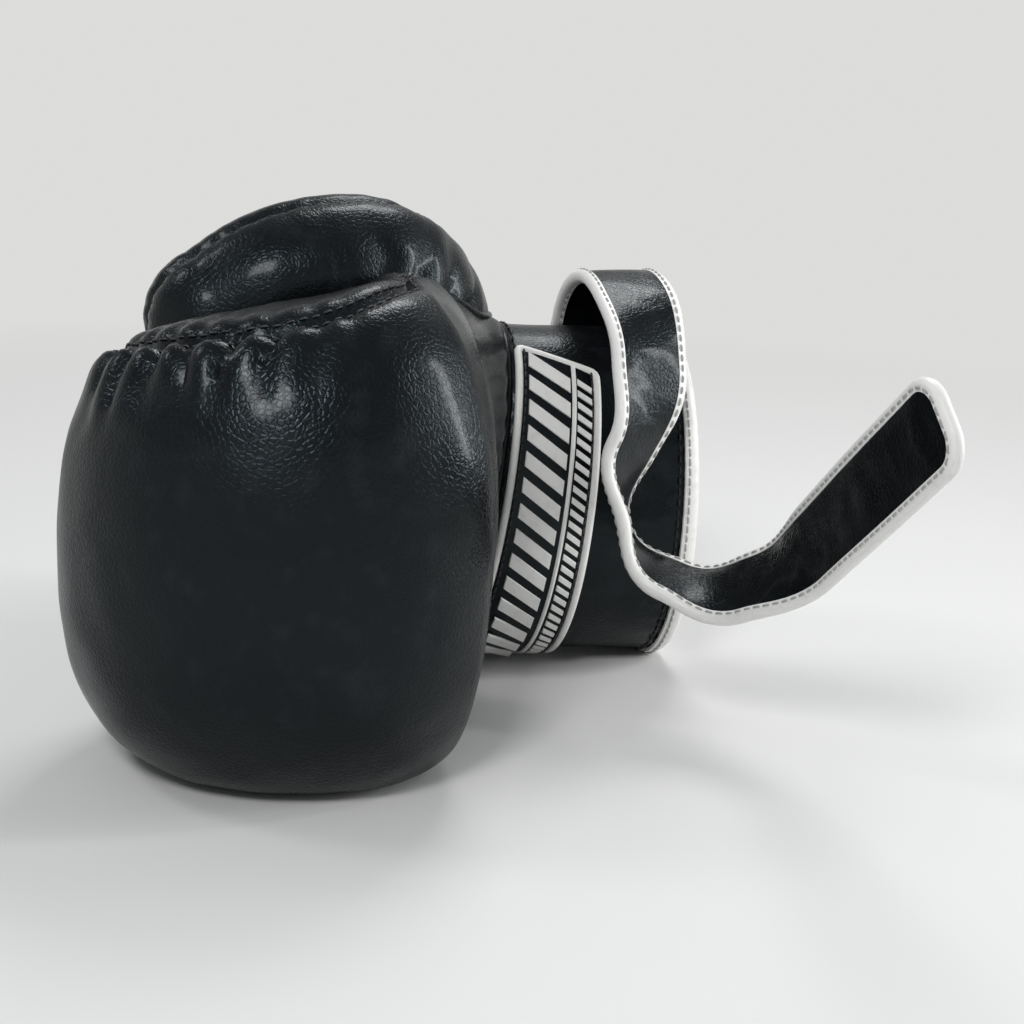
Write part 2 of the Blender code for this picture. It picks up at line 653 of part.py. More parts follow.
def edge_channel(name, path):
    """Tape folded over an edge. The path holds points, the way inwards and the share of thickness."""
    profile = (
        (0, TAPE_REACH), (0, -TAPE_REACH), (STRAP_TAPE_WIDTH, -TAPE_REACH), (STRAP_TAPE_WIDTH, -TAPE_SLOT),
        (STRAP_TAPE, -TAPE_SLOT), (STRAP_TAPE, TAPE_SLOT), (STRAP_TAPE_WIDTH, TAPE_SLOT),
        (STRAP_TAPE_WIDTH, TAPE_REACH),
    )
    rings = []
    for (u, w), (du, dw), f in path:
        rings.append([Vector((u + du * q, w + dw * q, h * f)) for q, h in profile])
    return finish(loft(name, rings, smooth=False), "white_vinyl")


def side_path(length, side):
    half = STRAP_WIDTH / 2
    return [((u, side * half), (0, -side), f) for u, f in end_rounds(length)]


def tip_path(length):
    """The bound edge of the last stretch: down one side, round the tip and back up the other."""
    halves = []
    for side in (-1, 1):
        points = side_path(length, side)[:3]
        for (u, w), turn in zip(tip_rounds(length, 0), steps(0, 90, 6)):
            a = math.radians(turn)
            points.append(((u, side * w), (-math.sin(a), -side * math.cos(a)), 1))
        halves.append(points)
    return halves[0] + halves[1][::-1]


def make_strap():
    cuff_strip("strap_root", ROOT_FROM_ANGLE, ROOT_TO_ANGLE, BAND_INSET, 0, STRAP_THICK, "black_leather")
    over = STRAP_THICK + GAP
    cuff_strip("loop_patch", LOOP_FROM_ANGLE, LOOP_TO_ANGLE, PATCH_MARGIN, over, PATCH_THICK, "hook_and_loop")
    spot = first_hinge()
    frame = stretch_frame(STRAP_SLOPE)
    open_before = closed_before = Matrix.Identity(3)
    for number, (stretch, slope) in enumerate(zip(STRAP_CHAIN, closed_slopes()), start=1):
        length, bend, twist = stretch
        closed = stretch_frame(slope)
        if bend is None:
            frame = frame @ closed_before.transposed() @ closed
        else:
            frame = next_frame(frame, bend, twist)
            hinge = bpy.data.objects.new(f"strap_hinge_{number}", None)
            hinge.empty_display_size = HINGE_MARK * METRES
            hinge.location = spot * METRES
            turn = closing_turn(open_before, frame, closed_before, closed)
            hinge["closing_turn"], hinge["closing_axis"] = turn
            bpy.context.scene.collection.objects.link(hinge)
        is_tip = number == len(STRAP_CHAIN)
        pieces = [band(f"strap_{number}", length, is_tip)]
        if is_tip:
            pieces.append(edge_channel("strap_binding_tip", tip_path(length)))
            pieces.append(hook_patch(length))
        else:
            pieces.append(edge_channel(f"strap_binding_wrist_{number}", side_path(length, -1)))
            pieces.append(edge_channel(f"strap_binding_rim_{number}", side_path(length, 1)))
        for piece in pieces:
            piece.parent = hinge
            piece.matrix_local = Matrix.Translation(spot * METRES - hinge.location) @ frame.to_4x4()
        spot = spot + frame.col[0] * length
        open_before, closed_before = frame, closed


def hook_patch(length):
    last = length - STRAP_TAPE_WIDTH - HOOK_TO_TAPE
    top = -STRAP_THICK / 2 - GAP
    low = top - PATCH_THICK
    half = STRAP_WIDTH / 2 - PATCH_MARGIN
    rings = []
    for u, w in ((last - HOOK_LENGTH, half), (last - HOOK_CORNER, half), (last, half - HOOK_CORNER)):
        rings.append([Vector((u, -w, low)), Vector((u, w, low)), Vector((u, w, top)), Vector((u, -w, top))])
    return finish(loft("hook_patch", rings, smooth=False), "hook_and_loop")


def main():
    for thing in list(bpy.data.objects):
        bpy.data.objects.remove(thing)
    make_thumb(make_mitt())
    make_cuff()
    make_wrist_panel()
    make_strap()
    for thing in bpy.data.objects:
        if thing.parent is None:
            thing.location -= REST_SPOT * METRES


main()
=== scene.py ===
"""Looks of the left boxing glove: leather skins, stitching, wrist panel, bound strap and linings.

The forms are worked out in millimetres from the crease of the fingers, as the solids were, and then
stored in metres from the middle of the flat that the glove rests on.
"""

import math

import bmesh
import bpy
import numpy as np
from mathutils import Matrix, Vector, noise
from mathutils.bvhtree import BVHTree


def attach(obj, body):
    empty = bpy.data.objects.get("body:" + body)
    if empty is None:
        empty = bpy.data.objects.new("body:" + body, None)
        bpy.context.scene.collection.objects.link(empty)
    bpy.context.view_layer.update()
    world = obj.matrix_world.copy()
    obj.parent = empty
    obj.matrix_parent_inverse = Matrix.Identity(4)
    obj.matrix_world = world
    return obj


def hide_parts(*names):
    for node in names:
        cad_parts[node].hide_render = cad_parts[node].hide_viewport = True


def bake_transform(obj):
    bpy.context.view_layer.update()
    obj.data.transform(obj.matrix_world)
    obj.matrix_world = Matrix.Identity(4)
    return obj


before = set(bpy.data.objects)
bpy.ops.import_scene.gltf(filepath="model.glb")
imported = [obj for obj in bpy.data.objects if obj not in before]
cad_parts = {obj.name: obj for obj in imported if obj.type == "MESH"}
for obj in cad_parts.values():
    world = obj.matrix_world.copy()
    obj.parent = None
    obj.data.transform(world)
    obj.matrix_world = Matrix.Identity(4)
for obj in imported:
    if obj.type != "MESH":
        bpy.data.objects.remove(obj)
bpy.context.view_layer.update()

METRES = 0.001
REST_SPOT = Vector((-20, -29, 0))
GLOVE = "glove"

# ---- Sizes of the forms, in millimetres and degrees
GAP = 0.3
LEATHER = 1.3
HAND_LENGTH = 76.0
CREASE_Y = 10.0
CREASE_RADIUS = 3.0
CURL = 180.0
BEND = math.radians(28)
WRIST_SLANT = math.tan(math.radians(9))
SLANT_HEIGHT = 60.0
WRIST_POWER = 2.1
FIST_POWER = 2.35
FINGER_END = 10.0
ALMOST_SHUT = 89.8
HAND_BACK = ((0, -15.55), (0.35, -38), (0.68, -63), (1, -78))
HAND_PALM = ((0, 51.55), (0.35, 46), (0.62, 36), (0.85, 21), (1, 7))
HAND_TOP = ((0, 116.5), (0.35, 128), (0.68, 137), (1, 142))
HAND_LOW = ((0, 4.5), (0.35, 1), (0.68, -3), (1, -3.5))
FIST_RADIUS = ((0, 88), (45, 96), (90, 84), (120, 57), (150, 40), (180, 30))
FIST_TOP = ((0, 142), (45, 137), (90, 126), (120, 115), (150, 108), (180, 102))
FIST_LOW = ((0, -3.5), (45, -3.5), (90, 0), (120, 5), (150, 10), (180, 17))
LOW_SEAM = -114.0
THUMB_SPINE = (
    (14, 22, 92, 18), (22, 18, 117, 22.5), (44, 16, 135, 24), (71, 23, 134, 24), (91, 33, 124, 21.5)
)
SPINE_STEP = 0.02
THUMB_ALMOST_SHUT = 89.0
THUMB_TOP_SEAM = 80.0
THUMB_LOW_SEAM = -60.0
CUFF_Y = 18.0
CUFF_Z = 60.5
CUFF_DROOP = 3.0
CUFF_HALF_DEPTH = 38.0
CUFF_HALF_HEIGHT = 56.0
CUFF_FLARE = 2.5
CUFF_LENGTH = 70.0
CUFF_WALL = 11.1
HALF_SLIT = 10.0
RIM_BINDING_WIDTH = 6.0
TAPE_EDGE = CUFF_LENGTH - RIM_BINDING_WIDTH
CUFF_CORE = (110, 0, 60)
PANEL_START = 2.5
PANEL_WIDTH = 31.0
PANEL_TOP_ANGLE = 66.0
PANEL_LOW_ANGLE = -72.0
PANEL_LEAN = -14.0
STRAP_START = 35.0
STRAP_WIDTH = 28.0
ROOT_FROM_ANGLE = 169.0
ROOT_TO_ANGLE = 132.0
ROOT_RISE = 4.4
STRAP_SLOPE = 57.0
# Each stretch of the undone strap: its length, then its bend and twist from the one before.
STRAP_CHAIN = (
    (26, 0, 0), (26, 40.3, 0), (30, 38.9, 0), (32, 33, -19), (26, 42, -29),
    (26, -43, -32), (28, -53, 34), (32, -48, 36), (42, -27, 33), (64, 1, 4),
)
TIP = 10  # the number of the last stretch
STRAP_HALF = STRAP_WIDTH / 2
CUFF_AXIS = Vector((math.cos(BEND), -math.sin(BEND), 0))
CUFF_SIDE = Vector((math.sin(BEND), math.cos(BEND), 0))


# ---- Curves and forms
def steps(first, last, count):
    return [first + (last - first) * i / count for i in range(count + 1)]


def smooth(low, high, at):
    share = min(max((at - low) / (high - low), 0), 1)
    return share * share * (3 - 2 * share)


def curve(table, at):
    """A smooth curve through a table's (place, value) pairs, level beyond its ends."""
    at = min(max(at, table[0][0]), table[-1][0])
    slopes = []
    for i in range(len(table)):
        before, after = table[max(i - 1, 0)], table[min(i + 1, len(table) - 1)]
        slopes.append((after[1] - before[1]) / (after[0] - before[0]))
    for i in range(len(table) - 1):
        (x0, y0), (x1, y1) = table[i], table[i + 1]
        if at <= x1:
            break
    width = x1 - x0
    u = (at - x0) / width
    ends = (2 * u**3 - 3 * u**2 + 1) * y0 + (3 * u**2 - 2 * u**3) * y1
    return ends + width * ((u**3 - 2 * u**2 + u) * slopes[i] + (u**3 - u**2) * slopes[i + 1])


def eased(points, times, closed=False):
    """A smoothed line of points; the ends of an open one stay."""
    for _ in range(times):
        line = points[-1:] + points + points[:1] if closed else points
        inner = [(a + b * 2 + c) / 4 for a, b, c in zip(line, line[1:], line[2:])]
        points = inner if closed else points[:1] + inner + points[-1:]
    return points


def oval(angle, power):
    c, s = math.cos(math.radians(angle)), math.sin(math.radians(angle))
    return tuple(math.copysign(abs(part) ** (2 / power), part) for part in (c, s))


def mitt_ring(place, angles):
    """A section of the mitt: 0-1 is along the hand, 1-2 round the curl and 2-3 over the end."""
    curl = CURL * min(max(place - 1, 0), 1)
    closing = math.radians(ALMOST_SHUT * min(max(place - 2, 0), 1))
    wrist = max(1 - place, 0)
    if wrist:
        near = CREASE_Y - curve(HAND_PALM, place)
        far = CREASE_Y - curve(HAND_BACK, place)
        top, low = curve(HAND_TOP, place), curve(HAND_LOW, place)
    else:
        near, far = CREASE_RADIUS, curve(FIST_RADIUS, curl)
        top, low = curve(FIST_TOP, curl), curve(FIST_LOW, curl)
    power = FIST_POWER + (WRIST_POWER - FIST_POWER) * wrist
    turn = math.radians(curl)
    out = Vector((-math.sin(turn), -math.cos(turn), 0))
    ahead = Vector((-math.cos(turn), math.sin(turn), 0))
    start = Vector((wrist * HAND_LENGTH, CREASE_Y, 0)) + ahead * FINGER_END * math.sin(closing)
    half_depth = (far - near) / 2 * math.cos(closing)
    half_height = (top - low) / 2 * math.cos(closing)
    ring = []
    for angle in angles:
        c, s = oval(angle, power)
        point = start + out * ((near + far) / 2 + half_depth * c)
        point.z = (top + low) / 2 + half_height * s
        point.x += math.tan(BEND) * wrist * (point.y - CUFF_Y)
        ring.append(point + CUFF_AXIS * WRIST_SLANT * wrist * (max(point.z, 0) - SLANT_HEIGHT))
    return ring


def cuff_point(along, inset, angle):
    """A point of the cuff, at a distance from the wrist seam and inside its outer surface."""
    share = along / CUFF_LENGTH
    flare = CUFF_FLARE * share**2
    c, s = oval(angle, WRIST_POWER)
    z = CUFF_Z - CUFF_DROOP * share + (CUFF_HALF_HEIGHT + flare / 2 - inset) * s
    lean = WRIST_SLANT * (1 - share) * (z - SLANT_HEIGHT)
    point = Vector((HAND_LENGTH, CUFF_Y, z)) + CUFF_AXIS * (along + lean)
    return point - CUFF_SIDE * (CUFF_HALF_DEPTH + flare - inset) * c


def thumb_ring(place, angles):
    """A section of the thumb: the place runs 0-1 along its spine and 1-2 over its tip."""
    knots = steps(0, 1, len(THUMB_SPINE) - 1)
    tables = [list(zip(knots, values)) for values in zip(*THUMB_SPINE)]
    spine = min(place, 1)
    closing = math.radians(THUMB_ALMOST_SHUT * max(place - 1, 0))
    x, y, z, radius = (curve(table, spine) for table in tables)
    before = Vector(curve(table, max(spine - SPINE_STEP, 0)) for table in tables[:3])
    after = Vector(curve(table, min(spine + SPINE_STEP, 1)) for table in tables[:3])
    ahead = (after - before).normalized()
    ahead.x *= -1
    side = ahead.cross(Vector((0, 0, 1))).normalized()
    up = side.cross(ahead)
    centre = Vector((HAND_LENGTH - x, y, z)) + ahead * radius * math.sin(closing)
    reach = radius * math.cos(closing)
    turns = (math.radians(angle) for angle in angles)
    return [centre + (up * math.sin(turn) - side * math.cos(turn)) * reach for turn in turns]


def panel_point(across, round_share, height):
    """A point over the wrist panel: across it from the seam, round it from its low end."""
    lean = PANEL_LEAN * across / PANEL_WIDTH
    angle = PANEL_LOW_ANGLE + (PANEL_TOP_ANGLE - PANEL_LOW_ANGLE) * round_share + lean
    return cuff_point(PANEL_START + across, -height, angle)


def on_cuff(angle, across, height):
    """A point over the cuff at a place across the strap, straight round the cuff's axis."""
    point = cuff_point(STRAP_START + across, -height, angle)
    wrist = Vector((HAND_LENGTH, CUFF_Y, point.z))
    return point + CUFF_AXIS * (STRAP_START + across - (point - wrist).dot(CUFF_AXIS))


# ---- Surfaces: grids of points with their outward normals
def grid_normals(points):
    """Unit normals of a grid of points, row by row."""
    normals = np.cross(np.gradient(points, axis=0), np.gradient(points, axis=1))
    return normals / np.maximum(np.linalg.norm(normals, axis=2, keepdims=True), 1e-9)


class Surface:
    """A grid of points in millimetres that can be raised, sampled and made into pieces."""

    def __init__(self, rings, centre):
        self.points = np.array([[tuple(p) for p in ring] for ring in rings], float)
        self.side = 1.0
        self.normals = grid_normals(self.points)
        outward = ((self.points - np.array(centre)) * self.normals).sum()
        if outward < 0:
            self.side = -1.0
            self.normals = -self.normals

    def raise_by(self, heights, floor=None):
        self.points = self.points + self.normals * heights[:, :, None]
        if floor is not None:
            self.points[:, :, 2] = np.maximum(self.points[:, :, 2], floor)
        self.normals = grid_normals(self.points) * self.side

    def noise(self, size, seed):
        """Smooth noise over the points, from -1 to 1, with features of about this size."""
        values = np.empty(self.points.shape[:2])
        offset = Vector((seed * 17.3, seed * 5.1, -seed * 9.7))
        for i, row in enumerate(self.points):
            for j, p in enumerate(row):
                values[i, j] = noise.noise(Vector(p) / size + offset)
        return values

    def from_edge(self, last=False):
        """Distance of each point along its row from the row's first or last point."""
        gaps = np.linalg.norm(np.diff(self.points, axis=1), axis=2)
        start = np.zeros((len(gaps), 1))
        if last:
            return np.concatenate([np.cumsum(gaps[:, ::-1], axis=1)[:, ::-1], start], axis=1)
        return np.concatenate([start, np.cumsum(gaps, axis=1)], axis=1)

    def beside(self, distance, lift, last=False, rows=None):
        """A line across the rows at a distance from their first or last points."""
        run = self.from_edge(last)
        onward = slice(None, None, -1 if last else 1)
        points, normals = [], []
        for i in rows if rows is not None else range(len(self.points)):
            reach = run[i][onward]
            at, up = (
                np.array([np.interp(distance, reach, column) for column in grid[i][onward].T])
                for grid in (self.points, self.normals)
            )
            up /= np.linalg.norm(up)
            points.append(at + up * lift)
            normals.append(up)
        return np.array(points), np.array(normals)


TUBE_SMOOTH = 60


def put(name, data):
    """A new object in the scene."""
    made = bpy.data.objects.new(name, data)
    bpy.context.scene.collection.objects.link(made)
    return made


def stored(points):
    """Points in millimetres from the fingers' crease, in metres from the rest spot."""
    return [tuple(p) for p in (np.array([tuple(p) for p in points]) - np.array(REST_SPOT)) * METRES]


def mesh_piece(name, points, faces, smooth_angle=40):
    """A piece from points in millimetres."""
    mesh = bpy.data.meshes.new(name)
    mesh.from_pydata(stored(points), [], faces)
    work = bmesh.new()
    work.from_mesh(mesh)
    bmesh.ops.recalc_face_normals(work, faces=work.faces)
    work.to_mesh(mesh)
    work.free()
    mesh.shade_smooth()
    mesh.set_sharp_from_angle(angle=math.radians(smooth_angle))
    return put(name, mesh)


def grid_faces(rows, columns, wrap=False, flip=False):
    faces = []
    for i in range(rows - 1):
        for j in range(columns if wrap else columns - 1):
            here, k = i * columns, (j + 1) % columns
            face = [here + j, here + k, here + columns + k, here + columns + j]
            faces.append(face[::-1] if flip else face)
    return faces


def shell(name, surface, thickness, keep=None):
    """A closed skin of the kept cells: a surface and its copy, pushed in by the thickness."""
    rows, columns = surface.points.shape[:2]
    inner = surface.points - surface.normals * thickness
    points = np.concatenate([surface.points.reshape(-1, 3), inner.reshape(-1, 3)])
    total = rows * columns
    faces, rim = [], set()
    for i, j in zip(*np.nonzero(np.ones((rows - 1, columns - 1)) if keep is None else keep)):
        corner = int(i * columns + j)
        face = [corner, corner + 1, corner + columns + 1, corner + columns]
        faces += [face, [k + total for k in face[::-1]]]
        for edge in zip(face, face[1:] + face[:1]):
            if edge[::-1] in rim:
                rim.remove(edge[::-1])
            else:
                rim.add(edge)
    faces += [[b, a, a + total, b + total] for a, b in sorted(rim)]
    used = sorted({k for face in faces for k in face})
    place = {k: n for n, k in enumerate(used)}
    return mesh_piece(name, points[used], [[place[k] for k in face] for face in faces])


def loft(name, rings, smooth_angle=40, closed=False):
    """A solid through rings of points, its ends filled or, where closed, joined to each other."""
    count = len(rings[0])
    total = len(rings) * count
    faces = grid_faces(len(rings) + closed, count, wrap=True)
    if closed:
        faces = [[k % total for k in face] for face in faces]
    else:
        faces += [list(range(count)), list(range(total - count, total))[::-1]]
    return mesh_piece(name, [p for ring in rings for p in ring], faces, smooth_angle)


def tube_rings(points, ups, radius, sides=10, flat=1.0):
    """Rings round a line of points, flattened along the line's ups."""
    points = np.array([tuple(p) for p in points], float)
    along = np.gradient(points, axis=0)
    along /= np.linalg.norm(along, axis=1, keepdims=True)
    rings = []
    for p, t, u in zip(points, along, np.array([tuple(u) for u in ups], float)):
        u = u - t * np.dot(u, t)
        u /= np.linalg.norm(u)
        w = np.cross(t, u)
        rings.append([
            p + w * radius * math.cos(a) + u * radius * flat * math.sin(a)
            for a in (math.tau * k / sides for k in range(sides))
        ])
    return rings


def tube(name, points, ups, radius, sides=10, flat=1.0):
    return loft(name, tube_rings(points, ups, radius, sides, flat), TUBE_SMOOTH)


def loop_tube(name, points, ups, radius, sides=10, flat=1.0):
    """A tube round a closed loop of points."""
    points, ups = (line[-1:] + line + line[:1] for line in (points, ups))
    rings = tube_rings(points, ups, radius, sides, flat)[1:-1]
    return loft(name, rings, TUBE_SMOOTH, closed=True)


# ---- Materials
class Finish:
    """A Principled material with the nodes that vary it, placed by the object or a flat map."""

    def __init__(self, name, colour, roughness, flat_map=False, **sockets):
        self.material = bpy.data.materials.new(name)
        self.material.use_nodes = True
        self.nodes = self.material.node_tree.nodes
        self.links = self.material.node_tree.links
        self.shader = self.nodes["Principled BSDF"]
        self.shader.inputs["Base Color"].default_value = (*colour, 1)
        self.shader.inputs["Roughness"].default_value = roughness
        for socket, value in sockets.items():
            self.shader.inputs[socket.replace("_", " ")].default_value = value
        if flat_map:
            self.place = self.node("ShaderNodeUVMap", uv_map="flat").outputs["UV"]
        else:
            self.place = self.node("ShaderNodeTexCoord").outputs["Object"]
        self.height = None

    def node(self, kind, inputs=(), **settings):
        node = self.nodes.new(kind)
        for key, value in settings.items():
            setattr(node, key, value)
        for key, value in dict(inputs).items():
            if isinstance(value, bpy.types.NodeSocket):
                self.links.new(value, node.inputs[key])
            else:
                node.inputs[key].default_value = value
        return node

    def noise(self, scale, detail):
        inputs = {"Vector": self.place, "Scale": scale, "Detail": detail}
        return self.node("ShaderNodeTexNoise", inputs).outputs["Fac"]

    def cells(self, scale, feature="DISTANCE_TO_EDGE"):
        inputs = {"Vector": self.place, "Scale": scale}
        return self.node("ShaderNodeTexVoronoi", inputs, feature=feature).outputs["Distance"]

    def wave(self, scale, direction):
        inputs = {"Vector": self.place, "Scale": scale}
        return self.node("ShaderNodeTexWave", inputs, bands_direction=direction).outputs["Fac"]

    def spread(self, value, low, high, to_low=0.0, to_high=1.0):
        inputs = {
            "Value": value, "From Min": low, "From Max": high, "To Min": to_low, "To Max": to_high,
        }
        return self.node("ShaderNodeMapRange", inputs).outputs["Result"]

    def maths(self, operation, first, second):
        return self.node("ShaderNodeMath", {0: first, 1: second}, operation=operation).outputs[0]

    def tint(self, share, first, second):
        inputs = {"Fac": share, "Color1": (*first, 1), "Color2": (*second, 1)}
        colour = self.node("ShaderNodeMixRGB", inputs).outputs[0]
        self.links.new(colour, self.shader.inputs["Base Color"])

    def rough(self, value):
        self.links.new(value, self.shader.inputs["Roughness"])

    def bump(self, height, distance, strength=1.0):
        inputs = {"Height": height, "Distance": distance, "Strength": strength}
        if self.height is not None:
            inputs["Normal"] = self.height
        self.height = self.node("ShaderNodeBump", inputs).outputs["Normal"]
        self.links.new(self.height, self.shader.inputs["Normal"])


BLACK = (0.0035, 0.0042, 0.005)
WORN_BLACK = (0.012, 0.0145, 0.017)
BLUE_SHEEN = (0.74, 0.93, 1.0, 1.0)
WHITE = (0.80, 0.80, 0.775)
SOILED_WHITE = (0.50, 0.49, 0.46)


def leather(name, flat_map=False, wrinkle=0.0006):
    """Glossy black leather: pebbled grain, soft creases, dulled patches and paler worn folds."""
    finish = Finish(
        name, BLACK, 0.3, flat_map, Specular_IOR_Level=0.17, Coat_Weight=0.1, Coat_Roughness=0.12,
        Specular_Tint=BLUE_SHEEN,
    )
    worn = finish.spread(finish.noise(120, 6), 0.52, 0.75)
    finish.tint(finish.maths("MULTIPLY", worn, 0.6), BLACK, WORN_BLACK)
    finish.rough(finish.spread(finish.noise(38, 5), 0.3, 0.7, 0.22, 0.38))
    finish.bump(finish.noise(55, 4), wrinkle, 0.5)
    finish.bump(finish.spread(finish.cells(620), 0.0, 0.22), 0.00012, 0.5)
    finish.bump(finish.noise(2600, 2), 0.00004, 0.5)
    return finish.material


def white_vinyl(name, flat_map=False):
    """Satin white vinyl tape with a fine grain and a little dirt."""
    finish = Finish(name, WHITE, 0.42, flat_map, Coat_Weight=0.15, Coat_Roughness=0.3)
    dirt = finish.spread(finish.noise(340, 7), 0.52, 0.8)
    finish.tint(finish.maths("MULTIPLY", dirt, 0.35), WHITE, SOILED_WHITE)
    finish.rough(finish.spread(finish.noise(90, 3), 0.3, 0.7, 0.36, 0.52))
    finish.bump(finish.cells(1500), 0.00006, 0.4)
    return finish.material


def woven(name, colour, paler, scale):
    """Cloth with crossing threads, paler on the crossings and darker between them as painted shade.
    """
    finish = Finish(name, colour, 0.85, Sheen_Weight=0.25, Sheen_Roughness=0.5)
    threads = finish.maths("MULTIPLY", finish.wave(scale, "X"), finish.wave(scale, "Z"))
    # The tint follows the raised threads: painted shade darkens the gaps, and the crossings show
    # paler.
    finish.tint(finish.maths("MULTIPLY", threads, 0.6), colour, paler)
    finish.bump(threads, 0.0003, 0.7)
    finish.bump(finish.noise(60, 4), 0.0008, 0.4)
    return finish.material


def pile(name, scale, depth):
    """The matted loops or the stiff hooks of a touch fastener, darkened in their hollows as painted
    shade.
    """
    finish = Finish(name, (0.014, 0.014, 0.016), 0.92, Sheen_Weight=0.3, Sheen_Roughness=0.4)
    tufts = finish.cells(scale, "F1")
    # The tint follows the hollows of the pattern: painted shade darkens them.
    finish.tint(tufts, (0.010, 0.010, 0.012), (0.034, 0.035, 0.038))
    finish.bump(tufts, depth, 0.9)
    finish.bump(finish.noise(1900, 4), 0.0003, 0.6)
    return finish.material


def thread(name, colour):
    """Waxed, twisted sewing thread."""
    finish = Finish(name, colour, 0.5)
    finish.tint(finish.noise(900, 2), colour, tuple(c * 1.5 for c in colour))
    finish.bump(finish.wave(1200, "DIAGONAL"), 0.0001, 0.5)
    return finish.material


def ribbed(name):
    """Elastic cloth with ribs round the cuff, darkened in the grooves between them as painted
    shade.
    """
    finish = Finish(name, (0.016, 0.016, 0.018), 0.8, Sheen_Weight=0.2)
    ribs = finish.wave(210, "Z")
    # The tint follows the ribs: painted shade darkens the grooves.
    finish.tint(ribs, (0.010, 0.010, 0.011), (0.030, 0.030, 0.033))
    finish.bump(ribs, 0.0005, 0.8)
    return finish.material


def dense_foam(name):
    """Open pores in pale padding, darkened inside as painted shade."""
    finish = Finish(name, (0.42, 0.40, 0.34), 0.95)
    pores = finish.cells(420, "F1")
    # The tint follows the pores: painted shade darkens them inside.
    finish.tint(pores, (0.30, 0.28, 0.23), (0.50, 0.48, 0.42))
    finish.bump(pores, 0.0006, 0.8)
    return finish.material


LEATHER_SKIN = leather("black_leather_skin")
LEATHER_STRAP = leather("black_leather_strap", flat_map=True, wrinkle=0.0004)
WHITE_TAPE = white_vinyl("white_vinyl_tape")
WHITE_STRAP_TAPE = white_vinyl("white_vinyl_strap_tape", flat_map=True)
WHITE_BARS = white_vinyl("white_bars")
LINING_WEAVE = woven("lining_weave", (0.022, 0.022, 0.025), (0.06, 0.06, 0.064), 260)
LOOP_PILE = pile("loop_pile", 900, 0.0006)
HOOK_PILE = pile("hook_pile", 700, 0.0009)
DARK_THREAD = thread("black_thread", (0.010, 0.010, 0.012))
PALE_THREAD = thread("grey_thread", (0.30, 0.30, 0.29))
GUSSET_RIBS = ribbed("gusset_ribs")
FOAM_PORES = dense_foam("foam_pores")


def paint(piece, material):
    piece.data.materials.clear()
    piece.data.materials.append(material)
    return piece


# ---- Stitching
def repeat_tree():
    """A tree that sets a unit along every line of a path, at a pitch, upright on the surface."""
    tree = bpy.data.node_groups.new("set_along_path", "GeometryNodeTree")
    for socket, kind in (
        ("Path", "Geometry"), ("Unit", "Object"), ("Pitch", "Float"), ("Size Spread", "Float"),
        ("Seed", "Int"), ("Finish", "Material"),
    ):
        tree.interface.new_socket(socket, in_out="INPUT", socket_type=f"NodeSocket{kind}")
    tree.interface.new_socket("Geometry", in_out="OUTPUT", socket_type="NodeSocketGeometry")
    nodes = {
        label: tree.nodes.new(kind) for label, kind in (
            ("given", "NodeGroupInput"), ("made", "NodeGroupOutput"),
            ("lines", "GeometryNodeMeshToCurve"), ("even", "GeometryNodeResampleCurve"),
            ("upright", "GeometryNodeInputNamedAttribute"), ("onward", "GeometryNodeInputTangent"),
            ("turn", "FunctionNodeAxesToRotation"), ("unit", "GeometryNodeObjectInfo"),
            ("place", "GeometryNodeInstanceOnPoints"), ("size", "FunctionNodeRandomValue"),
            ("lowest", "ShaderNodeMath"), ("highest", "ShaderNodeMath"),
            ("real", "GeometryNodeRealizeInstances"), ("coat", "GeometryNodeSetMaterial"),
        )
    }
    nodes["even"].mode = "LENGTH"
    nodes["upright"].data_type = "FLOAT_VECTOR"
    nodes["upright"].inputs["Name"].default_value = "upright"
    nodes["turn"].primary_axis, nodes["turn"].secondary_axis = "X", "Z"
    for label, operation in (("lowest", "SUBTRACT"), ("highest", "ADD")):
        nodes[label].operation = operation
        nodes[label].inputs[0].default_value = 1
    for start, output, end, socket in (
        ("given", "Path", "lines", "Mesh"), ("lines", "Curve", "even", "Curve"),
        ("given", "Pitch", "even", "Length"), ("onward", "Tangent", "turn", "Primary Axis"),
        ("upright", "Attribute", "turn", "Secondary Axis"), ("given", "Unit", "unit", "Object"),
        ("even", "Curve", "place", "Points"), ("unit", "Geometry", "place", "Instance"),
        ("turn", "Rotation", "place", "Rotation"), ("given", "Size Spread", "lowest", 1),
        ("given", "Size Spread", "highest", 1), ("lowest", 0, "size", 2), ("highest", 0, "size", 3),
        ("given", "Seed", "size", "Seed"), ("size", 1, "place", "Scale"),
        ("place", "Instances", "real", "Geometry"), ("real", "Geometry", "coat", "Geometry"),
        ("given", "Finish", "coat", "Material"), ("coat", "Geometry", "made", "Geometry"),
    ):
        tree.links.new(nodes[start].outputs[output], nodes[end].inputs[socket])
    return tree


REPEAT = repeat_tree()


def repeated(name, lines, unit, pitch, material, spread=0.06, seed=1):
    """One piece made of units set along lines of (points, ups) in millimetres."""
    points, edges, ups = [], [], []
    for line_points, line_ups in lines:
        first = len(points)
        points += stored(line_points)
        ups += [tuple(u) for u in line_ups]
        edges += [(first + i, first + i + 1) for i in range(len(line_points) - 1)]
    mesh = bpy.data.meshes.new(name)
    mesh.from_pydata(points, edges, [])
    upright = mesh.attributes.new("upright", "FLOAT_VECTOR", "POINT")
    upright.data.foreach_set("vector", np.array(ups).ravel())
    piece = put(name, mesh)
    setter = piece.modifiers.new("set_along_path", "NODES")
    setter.node_group = REPEAT
    values = {
        "Unit": unit, "Pitch": pitch * METRES, "Size Spread": spread, "Seed": seed,
        "Finish": material,
    }
    for item in REPEAT.interface.items_tree:
        if item.in_out == "INPUT" and item.name in values:
            setter[item.identifier] = values[item.name]
    bpy.context.view_layer.update()
    view = bpy.context.evaluated_depsgraph_get()
    made = bpy.data.meshes.new_from_object(piece.evaluated_get(view))
    piece.modifiers.clear()
    piece.data = made
    made.name = name
    return piece


